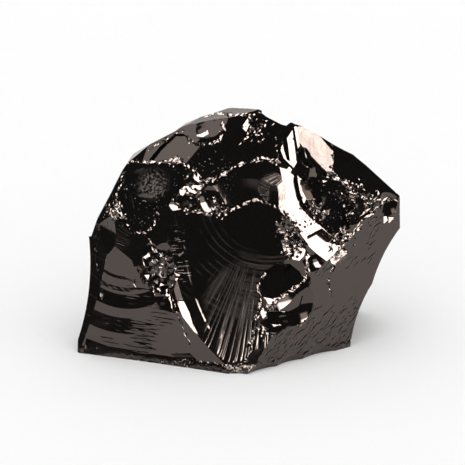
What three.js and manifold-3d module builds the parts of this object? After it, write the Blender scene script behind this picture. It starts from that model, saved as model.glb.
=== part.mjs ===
// Hand specimen of noble shungite: one dense lump of natural carbon glass, broken on every side.
// Units are millimetres, +Z is up, the showing side faces -Y and the right-hand side is +X.
// The lump stands on one flat break at Z = 0, and the origin is in the middle of its footprint.
//
// The form comes about as it does in the stone: a rough block loses one flake after another.
// Each lost flake leaves a scar, which is a shallow bowl or a flat that spreads from the point
// where the break began. Where two scars meet they leave a sharp ridge.

import * as THREE from 'three';
import { mergeVertices } from 'three/addons/utils/BufferGeometryUtils.js';
import Module from 'manifold-3d';

const wasm = await Module();
wasm.setup();

// ---------------------------------------------------------------- driving dimensions
const BLOCK = { width: 66, depth: 52, height: 46 };   // the rough block before any break
const BLOCK_CENTRE = [1, 10, 23];                     // a little of it lies below Z = 0
const SEAT = [-1.05, -10.5, 0];                       // moves the finished lump over the origin
const STONE = { colour: 0x171412, roughness: 0.12, metalness: 0 };

const REACH = 52;              // a scar with a large radius is cut out to this distance
const HEADROOM = 60;           // and everything above it is cleared to this height
const FULL_BOWL_RADIUS = 49;   // a scar with a smaller radius is a whole ball
const FLAT = 4000;             // radius that stands for a flat break
const FINE_REACH = 27;         // beyond this distance the rings of points spread out

// One scar: at = where the break began, facing = [bearing, climb] in degrees, radius = its bowl.
// A bearing of 0 faces the front, 90 faces +X; a climb of 0 is upright, 90 faces the sky.
// rings = [spacing, height] of the ripples that spread from the start of the break.
// ledges = single stronger ripples, each [distance from the start, height, width].
// stretch = [across, along] lets a small chip be longer than it is wide.
const SCARS = [
  // The showing side: one great bowl between a left and a right face.
  { name: 'great bowl', at: [5.5, 5.9, 25.5], facing: [-4, 13], radius: 60.8,
    rings: [2.6, 0.035], step: 1.25, around: 42,
    ledges: [[5.2, 0.05, 0.9], [11.2, 0.1, 0.7], [12.9, 0.26, 0.75],
      [15.3, 0.12, 0.7], [18.3, 0.22, 0.8], [22.4, 0.1, 0.9]] },
  { name: 'left face', at: [-11.9, 1.3, 19.2], facing: [-21, 6], radius: 96, rings: [5.2, 0.1] },
  { name: 'right face', at: [10.8, 1.7, 16.3], facing: [37, 5], radius: 0, rings: [7.5, 0.08] },
  { name: 'left side', at: [-21.4, 6.6, 18.9], facing: [-57, 9], radius: 112 },
  { name: 'sliver beside the bowl', at: [-10.4, 1.7, 16.3], facing: [-9, 23], radius: 0 },
  { name: 'foot of the left side', at: [-25, 5.7, 4.3], facing: [-94, -1], radius: 0 },
  { name: 'waist of the left side', at: [-23, 7.1, 12.5], facing: [-100, -1], radius: 35.2 },

  // The left shoulder, stepped hollows under the crest.
  { name: 'shoulder hollow', at: [-13.3, 3.9, 22.3], facing: [-29, 39], radius: 17.6 },
  { name: 'frosted hollow', at: [-12, 9.8, 29.4], facing: [-20, 26], radius: 13.6 },
  { name: 'brow', at: [-1.4, 8.5, 30.5], facing: [-13, 40], radius: 0 },
  { name: 'left nick', at: [-20.1, 6, 20.2], facing: [-42, 14], radius: 14.4 },
  { name: 'left shoulder', at: [-20.1, 8.2, 23.7], facing: [-59, 29], radius: 0 },
  { name: 'left brow', at: [-15.3, 12.9, 30.4], facing: [-53, 51], radius: 0 },
  { name: 'flake under the brow', at: [-6.4, 7.2, 26.8], facing: [14, 37], radius: 3.5 },
  { name: 'low flake under the brow', at: [-7.3, 6, 24.8], facing: [-3, 26], radius: 5.1,
    stretch: [1.2, 0.9] },
  { name: 'flake on the bowl rim', at: [-3.6, 6.4, 24.8], facing: [3, 27], radius: 5.4,
    stretch: [0.9, 1.2], turn: 30 },
  { name: 'rim chip 2', at: [-18.2, 8.9, 26.2], facing: [-42, 38], radius: 2.4 },
  { name: 'rim chip 3', at: [-16.2, 10.6, 28.3], facing: [-38, 45], radius: 1.9 },
  { name: 'brow chip 1', at: [-12, 10.7, 29.7], facing: [-20, 50], radius: 2.2 },
  { name: 'brow chip 2', at: [-7.6, 10.7, 30.7], facing: [-12, 48], radius: 2.6, stretch: [1.4, 0.8] },
  { name: 'brow chip 3', at: [-3.4, 10.7, 31.6], facing: [-8, 46], radius: 2 },

  // The crest and its small bowls.
  { name: 'top slope', at: [-1, 9.8, 32.2], facing: [-20, 56], radius: 0 },
  { name: 'crest', at: [0.4, 17.9, 36.2], facing: [-77, 79], radius: 0 },
  { name: 'crest right', at: [6.1, 13.6, 35.5], facing: [55, 72], radius: 0 },
  { name: 'crown step', at: [7, 12, 33.4], facing: [0, 38], radius: 48 },
  { name: 'ringed bowl', at: [-4.9, 15.2, 33.9], facing: [0, 58], radius: 8,
    rings: [0.9, 0.05], step: 0.5, around: 16 },
  { name: 'crown bowl', at: [0.6, 13.7, 34.4], facing: [0, 50], radius: 8 },
  { name: 'notch in the crest', at: [8, 17.6, 33.9], facing: [169, 56], radius: 3.5 },
  { name: 'upper bowl', at: [8.4, 6.4, 25.8], facing: [-10, 32], radius: 35.2, rings: [3, 0.06] },
  { name: 'lip chip 1', at: [-0.6, 9.5, 30.6], facing: [2, 40], radius: 1.9 },
  { name: 'lip chip 2', at: [3.9, 9.4, 30], facing: [4, 38], radius: 2.2, stretch: [1.4, 0.8] },

  // The right shoulder: a long strip, the peak and two hollows that open onto the right face.
  { name: 'long strip', at: [8.6, 9, 29], facing: [16, 32], radius: 0 },
  { name: 'crown flank', at: [10.9, 10.1, 29.7], facing: [16, 41], radius: 0, rings: [2, 0.06] },
  { name: 'peak face', at: [10.9, 15.1, 34.4], facing: [24, 37], radius: 48, rings: [2.6, 0.1] },
  { name: 'peak shoulder', at: [17.1, 15.6, 30.8], facing: [46, 44], radius: 0, rings: [4.6, 0.08] },
  { name: 'inner hollow', at: [11.3, 8.1, 28.6], facing: [32, 11], radius: 20.8 },
  { name: 'outer hollow', at: [20.6, 10.3, 23.1], facing: [32, 10], radius: 19.2 },
  { name: 'end of the strip', at: [16.9, 6.8, 15.4], facing: [17, 31], radius: 4, stretch: [1.1, 0.9] },
  { name: 'peak scoop', at: [12, 12.9, 30.6], facing: [7, 31], radius: 4.8, stretch: [0.8, 1.3] },
  { name: 'low peak scoop', at: [14.5, 12.3, 29.1], facing: [19, 38], radius: 4 },
  { name: 'serration 1', at: [18.3, 11.1, 25.9], facing: [22, 36], radius: 1.9 },
  { name: 'serration 2', at: [20.3, 11.3, 24.8], facing: [26, 36], radius: 1.9, stretch: [1.4, 0.8] },
  { name: 'serration 3', at: [22.6, 11.8, 23.4], facing: [21, 33], radius: 1.6 },
  { name: 'corner pit', at: [25.2, 13.5, 20.1], facing: [35, 28], radius: 2.2, stretch: [0.8, 1.3] },

  // Broken ground between the bowl and the right face.
  { name: 'fin', at: [8.9, 3.8, 17.5], facing: [14, 37], radius: 4.8, stretch: [0.9, 1.2], turn: 20 },
  { name: 'deep pit', at: [13.1, 4.6, 15.7], facing: [22, 22], radius: 3.8 },
  { name: 'low hollow', at: [5.4, 1.2, 13.7], facing: [32, 9], radius: 11.2 },
  { name: 'low facet', at: [9.4, 1.2, 9.4], facing: [37, 7], radius: 7.2 },
  { name: 'crescent', at: [7.2, -0.3, 7.4], facing: [12, 14], radius: 4, stretch: [1.2, 0.8] },

  // Chips down the ridge between the left face and the bowl.
  { name: 'ridge chip 1', at: [-12.9, 3, 16.5], facing: [-13, 25], radius: 2.2, stretch: [0.8, 1.3] },
  { name: 'ridge chip 2', at: [-11.3, 2.6, 15.9], facing: [0, 34], radius: 2.1 },
  { name: 'ridge chip 3', at: [-12.5, 1.8, 13.8], facing: [-19, 19], radius: 2.1, stretch: [1.2, 1] },
  { name: 'ridge chip 4', at: [-11.2, 1.4, 12.8], facing: [7, 31], radius: 1.9 },
  { name: 'ridge chip 5', at: [-12.9, 1.1, 11.9], facing: [-13, 25], radius: 2.2,
    stretch: [0.8, 1.4], turn: 20 },
  { name: 'ridge chip 6', at: [-11.1, 0.9, 10.6], facing: [-5, 12], radius: 1.8 },

  // The outline, seen from the showing side.
  { name: 'left of the crest', at: [-7, 16.8, 34.7], facing: [-112, 66], radius: 0 },
  { name: 'top of the crest', at: [1.9, 19.4, 36.5], facing: [-160, 84], radius: 0 },
  { name: 'peak slope', at: [19.9, 16.2, 29.2], facing: [115, 45], radius: 64 },
  { name: 'right corner', at: [25.5, 15.2, 24.3], facing: [131, 35], radius: 0 },
  { name: 'right edge', at: [27.2, 14.3, 20.4], facing: [105, -1], radius: 0 },
  { name: 'right undercut', at: [24.6, 11.5, 14], facing: [89, -29], radius: 25.6 },
  { name: 'right foot', at: [20.2, 7.3, 4.8], facing: [107, -24], radius: 19.2 },
  { name: 'left roof', at: [-15.4, 13.2, 30.5], facing: [-101, 50], radius: 0 },
  { name: 'left edge', at: [-19.8, 9.2, 25], facing: [-94, 27], radius: 0 },

  // The back: broad bowls with chipped ridges.
  { name: 'back bowl', at: [3.2, 25.6, 11.2], facing: [172, 12], radius: 80, rings: [7.2, 0.14] },
  { name: 'back left bowl', at: [-13.6, 18.4, 11.2], facing: [-140, -5], radius: 56, rings: [7.6, 0.15] },
  { name: 'back right bowl', at: [20.8, 20, 12.7], facing: [140, 5], radius: 48, rings: [6.4, 0.12] },
  { name: 'back foot', at: [0, 22.4, 2.4], facing: [175, -40], radius: 90 },
  { name: 'upper back left bowl', at: [-6.4, 22.4, 20.7], facing: [-160, 30], radius: 32,
    rings: [6.2, 0.12] },
  { name: 'upper back right bowl', at: [9.6, 22.1, 22.4], facing: [160, 35], radius: 40,
    rings: [6.8, 0.12] },
  { name: 'back scallop 1', at: [-1, 26.3, 8.8], facing: [178, -12], radius: 5.5, stretch: [1.4, 0.9] },
  { name: 'back scallop 2', at: [9.5, 24.9, 8.4], facing: [172, -8], radius: 7.5, stretch: [1.2, 0.9] },
  { name: 'back scallop 3', at: [0.6, 21.4, 29.8], facing: [178, 34], radius: 6, stretch: [0.8, 1.3] },
  { name: 'back scallop 4', at: [1.4, 23, 26], facing: [172, 24], radius: 3.6 },
  { name: 'back scallop 5', at: [-3.4, 25.1, 18.8], facing: [-174, 20], radius: 5.2,
    stretch: [1.3, 0.9], turn: 30 },
  { name: 'back scallop 6', at: [9, 22.9, 20.9], facing: [167, 26], radius: 8, stretch: [1.4, 0.8] },
  { name: 'back scallop 7', at: [-12, 21.3, 19.6], facing: [-148, 12], radius: 6.4,
    stretch: [1.3, 0.9], turn: -30 },
  { name: 'back scallop 8', at: [-17.2, 18.2, 24], facing: [-140, 20], radius: 3.8 },
  { name: 'back scallop 9', at: [19.6, 20.4, 20.4], facing: [150, 22], radius: 5.2 },
  { name: 'back scallop 10', at: [22.8, 17.6, 11.6], facing: [118, -12], radius: 6, stretch: [0.8, 1.4] },
  { name: 'back scallop 11', at: [17.3, 23.3, 6.4], facing: [155, -20], radius: 5 },
  { name: 'back scallop 12', at: [-7.6, 23.8, 4.6], facing: [-155, -20], radius: 5.4, stretch: [0.9, 1.3] },
  { name: 'back scallop 13', at: [-22.3, 12.1, 8.6], facing: [-120, -2], radius: 6, stretch: [0.8, 1.3] },
  { name: 'back scallop 14', at: [-22.3, 12.6, 15.6], facing: [-118, 8], radius: 4 },
  { name: 'back scallop 15', at: [-20.4, 15.1, 21.6], facing: [-115, 16], radius: 5,
    stretch: [0.8, 1.3], turn: 20 },

  // Chips along the outline and the foot, where the lump has been knocked.
  { name: 'edge chip 1', at: [-20, 8.6, 23.6], facing: [-75, 28], radius: 2.6, stretch: [0.8, 1.4] },
  { name: 'edge chip 2', at: [-15.4, 12.8, 30], facing: [-75, 50], radius: 2.2, stretch: [1.3, 0.9] },
  { name: 'edge chip 3', at: [-9.8, 15.4, 33.4], facing: [-62, 62], radius: 2.8, stretch: [1.3, 0.8] },
  { name: 'edge chip 4', at: [24.4, 16.6, 22.8], facing: [132, 28], radius: 3.2 },
  { name: 'edge chip 5', at: [24, 11.3, 13.8], facing: [58, -14], radius: 2.8, stretch: [0.8, 1.4] },
  { name: 'edge chip 6', at: [20.2, 7.9, 7.2], facing: [62, -14], radius: 3.2, stretch: [0.9, 1.3] },
  { name: 'edge chip 7', at: [-24.3, 4.3, 2.6], facing: [-72, 12], radius: 2.6 },
  { name: 'edge chip 8', at: [12.3, 15.2, 33.6], facing: [70, 52], radius: 1.9 },
  { name: 'foot chip 1', at: [-20.4, 0.3, 0.9], facing: [-24, -28], radius: 5, stretch: [1.3, 0.8] },
  { name: 'foot chip 2', at: [-16.2, -1.3, 0.8], facing: [-22, -30], radius: 6, stretch: [1.2, 0.8] },
  { name: 'foot chip 3', at: [-12.2, -2.8, 0.7], facing: [-20, -24], radius: 3.6, stretch: [1.3, 0.8] },
  { name: 'foot chip 4', at: [-7.8, -4.6, 0.9], facing: [-20, -30], radius: 6, stretch: [1.2, 0.8] },
  { name: 'foot chip 5', at: [-3.6, -5.9, 0.8], facing: [-8, -30], radius: 3.2 },
  { name: 'foot chip 6', at: [0.4, -6.2, 0.9], facing: [2, -30], radius: 4.4, stretch: [1.2, 0.8] },
  { name: 'foot chip 7', at: [4.6, -4.4, 0.9], facing: [38, -32], radius: 5.6, stretch: [1.3, 0.8] },
  { name: 'foot chip 8', at: [9.2, -0.8, 1], facing: [36, -30], radius: 4.6, stretch: [1.2, 0.8] },
  { name: 'foot chip 9', at: [13.6, 2.6, 0.8], facing: [36, -28], radius: 5, stretch: [1.3, 0.8] },
];

// ---------------------------------------------------------------- geometry of one scar
const radians = THREE.MathUtils.degToRad;

// Unit vector for a bearing and a climb.
function direction([bearing, climb]) {
  const b = radians(bearing);
  const c = radians(climb);
  return new THREE.Vector3(Math.cos(c) * Math.sin(b), -Math.cos(c) * Math.cos(b), Math.sin(c));
}

// Distances from the start of the break at which the surface gets a ring of points.
function ringDistances(scar, radius) {
  const wholeBall = radius <= FULL_BOWL_RADIUS;
  const farthest = wholeBall ? Math.PI * radius : radius * Math.asin(REACH / radius);
  if (radius === FLAT && !scar.rings) return [farthest];
  const curveStep = Math.min(4, radius * 0.31);
  const step = scar.step ?? (scar.rings ? Math.min(curveStep, scar.rings[0] / 2.6) : curveStep);
  const distances = [];
  let gap = step;
  for (let d = step; d < farthest - 0.4 * gap; d += gap) {
    distances.push(d);
    if (d > FINE_REACH || (wholeBall && d > 1.4 * radius)) gap *= 1.5;
  }
  distances.push(farthest);
  return distances;
}

// Height of the ripples at distance d from the start of the break.
function rippleHeight(scar, d, angle) {
  let height = 0;
  if (scar.rings) {
    const [spacing, amplitude] = scar.rings;
    const drift = 0.6 * Math.sin(2 * angle + spacing) + 0.35 * Math.sin(5 * angle);
    height += amplitude * Math.min(1, d / spacing) * Math.sin((2 * Math.PI * d) / spacing + drift);
  }
  for (const [distance, amplitude, width] of scar.ledges ?? []) {
    const t = (d - distance) / width;
    height += amplitude * Math.exp(-t * t);
  }
  return height;
}

// Closed tool that clears a scar: its underside is the broken surface, its axis is local +Y.
function scarTool(scar) {
  const radius = scar.radius || FLAT;
  const profile = [new THREE.Vector2(0, 0)];
  for (const d of ringDistances(scar, radius)) {
    const a = d / radius;
    profile.push(new THREE.Vector2(Math.max(0, radius * Math.sin(a)), radius * (1 - Math.cos(a))));
  }
  const last = profile[profile.length - 1];
  if (radius > FULL_BOWL_RADIUS) {
    profile.push(new THREE.Vector2(last.x, HEADROOM), new THREE.Vector2(0, HEADROOM));
  } else {
    last.x = 0;
  }
  const geometry = new THREE.LatheGeometry(profile, scar.around ?? (radius < 9 ? 11 : 25));
  addRipples(geometry, scar, radius);
  const [across, along] = scar.stretch ?? [1, 1];
  geometry.scale(across, 1, along);
  return geometry.applyMatrix4(placement(scar));
}

// Moves the points of the broken surface toward or away from the bowl's centre.
function addRipples(geometry, scar, radius) {
  if (!scar.rings && !scar.ledges) return;
  const centre = new THREE.Vector3(0, radius, 0);
  const point = new THREE.Vector3();
  const inward = new THREE.Vector3();
  const points = geometry.attributes.position;
  for (let i = 0; i < points.count; i++) {
    point.fromBufferAttribute(points, i);
    inward.subVectors(centre, point);
    if (Math.abs(inward.length() - radius) > 0.01 || point.y > HEADROOM * 0.8) continue;
    const distance = radius * Math.atan2(Math.hypot(point.x, point.z), centre.y - point.y);
    if (distance > REACH) continue;
    point.addScaledVector(inward.normalize(), rippleHeight(scar, distance, Math.atan2(point.x, point.z)));
    points.setXYZ(i, point.x, point.y, point.z);
  }
}

// Stands a tool on its start point; local +Z runs down the slope and local +X to the right.
function placement(scar) {
  const out = direction(scar.facing);
  const down = new THREE.Vector3(0, 0, -1);
  down.addScaledVector(out, -down.dot(out));
  if (down.lengthSq() < 1e-4) down.set(0, -1, 0);
  down.normalize();
  const right = new THREE.Vector3().crossVectors(out, down);
  const spin = new THREE.Matrix4().makeRotationY(radians(scar.turn ?? 0));
  return new THREE.Matrix4().makeBasis(right, out, down).setPosition(...scar.at).multiply(spin);
}

// ---------------------------------------------------------------- cutting
// Turns a closed three.js geometry into a solid that can be cut.
function toSolid(geometry) {
  const bare = geometry.clone();
  bare.deleteAttribute('normal');
  bare.deleteAttribute('uv');
  const welded = mergeVertices(bare, 1e-4);
  const triangles = [];
  const index = welded.index.array;
  for (let i = 0; i < index.length; i += 3) {
    const [a, b, c] = [index[i], index[i + 1], index[i + 2]];
    if (a !== b && b !== c && c !== a) triangles.push(a, b, c);
  }
  const solid = new wasm.Manifold(new wasm.Mesh({
    numProp: 3,
    vertProperties: Float32Array.from(welded.attributes.position.array),
    triVerts: Uint32Array.from(triangles),
  }));
  if (solid.volume() <= 0) throw new Error('the solid is inside out');
  return solid;
}

// Turns the cut solid back into a three.js geometry.
function toGeometry(solid) {
  const mesh = solid.getMesh();
  const geometry = new THREE.BufferGeometry();
  geometry.setAttribute('position', new THREE.BufferAttribute(mesh.vertProperties, mesh.numProp));
  geometry.setIndex(new THREE.BufferAttribute(mesh.triVerts, 1));
  return geometry;
}

function breakStone() {
  const block = new THREE.BoxGeometry(BLOCK.width, BLOCK.depth, BLOCK.height);
  let stone = toSolid(block.translate(...BLOCK_CENTRE));
  for (const scar of SCARS) {
    stone = stone.subtract(toSolid(scarTool(scar)));
  }
  const foot = new THREE.BoxGeometry(2 * BLOCK.width, 2 * BLOCK.depth, BLOCK.height);
  stone = stone.subtract(toSolid(foot.translate(0, 0, -BLOCK.height / 2)));
  return toGeometry(stone).translate(...SEAT);
}

// ---------------------------------------------------------------- the part
const material = new THREE.MeshStandardMaterial({
  color: STONE.colour,
  roughness: STONE.roughness,
  metalness: STONE.metalness,
});
const shungite = new THREE.Mesh(breakStone(), material);
shungite.name = 'shungite';

const group = new THREE.Group();
group.add(shungite);

export default group;
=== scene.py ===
"""Looks of a hand specimen of noble shungite, the glassy near-black form of natural carbon.

The lump is one piece. It is broken out of a rough block by the same scars as its solid, and
then gets its flat flakes and the shards and chips along its ridges. Units are metres in the
scene and millimetres in the tables; +Z is up and the showing side faces -Y.
"""

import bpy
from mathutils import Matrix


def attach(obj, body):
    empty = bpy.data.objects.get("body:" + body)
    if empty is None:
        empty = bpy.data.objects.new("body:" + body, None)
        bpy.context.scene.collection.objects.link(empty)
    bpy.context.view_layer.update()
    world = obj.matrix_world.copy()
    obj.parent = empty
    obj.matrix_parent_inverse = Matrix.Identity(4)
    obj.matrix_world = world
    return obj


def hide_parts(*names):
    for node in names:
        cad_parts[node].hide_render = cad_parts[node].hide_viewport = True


bl_info = {
    "name": "Shungite specimen",
    "version": (1, 0, 0),
    "blender": (4, 5, 0),
    "location": "3D View > Sidebar > Shungite",
    "description": "Breaks a lump of noble shungite from its scars and sets it on a pale table",
    "category": "Add Mesh",
}

import math
import random

import bpy
import numpy as np
from bpy.props import FloatProperty, FloatVectorProperty, IntProperty, PointerProperty
from mathutils import Quaternion, Vector
from mathutils.bvhtree import BVHTree
from mathutils.geometry import tessellate_polygon

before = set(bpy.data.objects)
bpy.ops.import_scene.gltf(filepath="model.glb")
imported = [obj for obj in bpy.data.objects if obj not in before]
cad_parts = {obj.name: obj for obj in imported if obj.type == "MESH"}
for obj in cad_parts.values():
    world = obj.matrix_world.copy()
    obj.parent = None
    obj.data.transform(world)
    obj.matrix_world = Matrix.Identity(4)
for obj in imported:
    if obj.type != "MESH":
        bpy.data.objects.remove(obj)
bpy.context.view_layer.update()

# ---------------------------------------------------------------- the scars, in millimetres
BLOCK = (66, 52, 46)          # the rough block before any break
BLOCK_CENTRE = (1, 10, 23)
SEAT = (-1.05, -10.5, 0)      # moves the finished lump over the origin
REACH = 52                    # a wide scar is cut out to this distance from its start
HEADROOM = 60                 # and everything above it is cleared to this height
FLAT = 4000                   # radius that stands for a flat break
WHOLE_BALL = 49               # up to this radius a scar is cut by a whole ball
LARGE = 30                    # from this radius on a scar is one of the large ones, cut first
CHIP_RADIUS = 3.4             # below this radius a scar is a chip, cut wider and shallower
CHIP_WIDENING = 2.2           # by how much its radius grows
CHIP_LIFT = 0.22              # and how far out it moves, beside its radius
STEP = 1.2                    # usual distance between the rings of points on a scar
LEAST_STEP = 0.3
SMALL_STEP = 0.16             # of a small bowl, beside its radius
RIPPLE_RINGS = 7              # rings of points on one ripple
LEDGE_RINGS = 1.8             # and across the width of a ledge
FINE_REACH = 27               # beyond this distance the rings of points spread out
SPREAD_OUT = 1.5              # each ring then lies this much farther from the last


def scar(name, at, facing, radius, stretch=(1, 1), turn=0, rings=None, ledges=(), hackle=0.0):
    """One break: at = its start, facing = bearing and climb in degrees, radius = its bowl.

    Radius 0 stands for a flat break. stretch and turn = how a bowl is drawn out and turned,
    rings = spacing and height of its ripples, ledges = distance, height and width of single
    stronger ones, hackle = how strongly it is combed by lines that spread from the start.
    """
    return dict(name=name, at=at, facing=facing, radius=radius, stretch=stretch, turn=turn,
                rings=rings, ledges=ledges, hackle=hackle)


def numbered(name, rows):
    """Breaks of one kind, each given by what scar takes after its name."""
    return [scar(f"{name} {k}", *row) for k, row in enumerate(rows, 1)]


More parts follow.
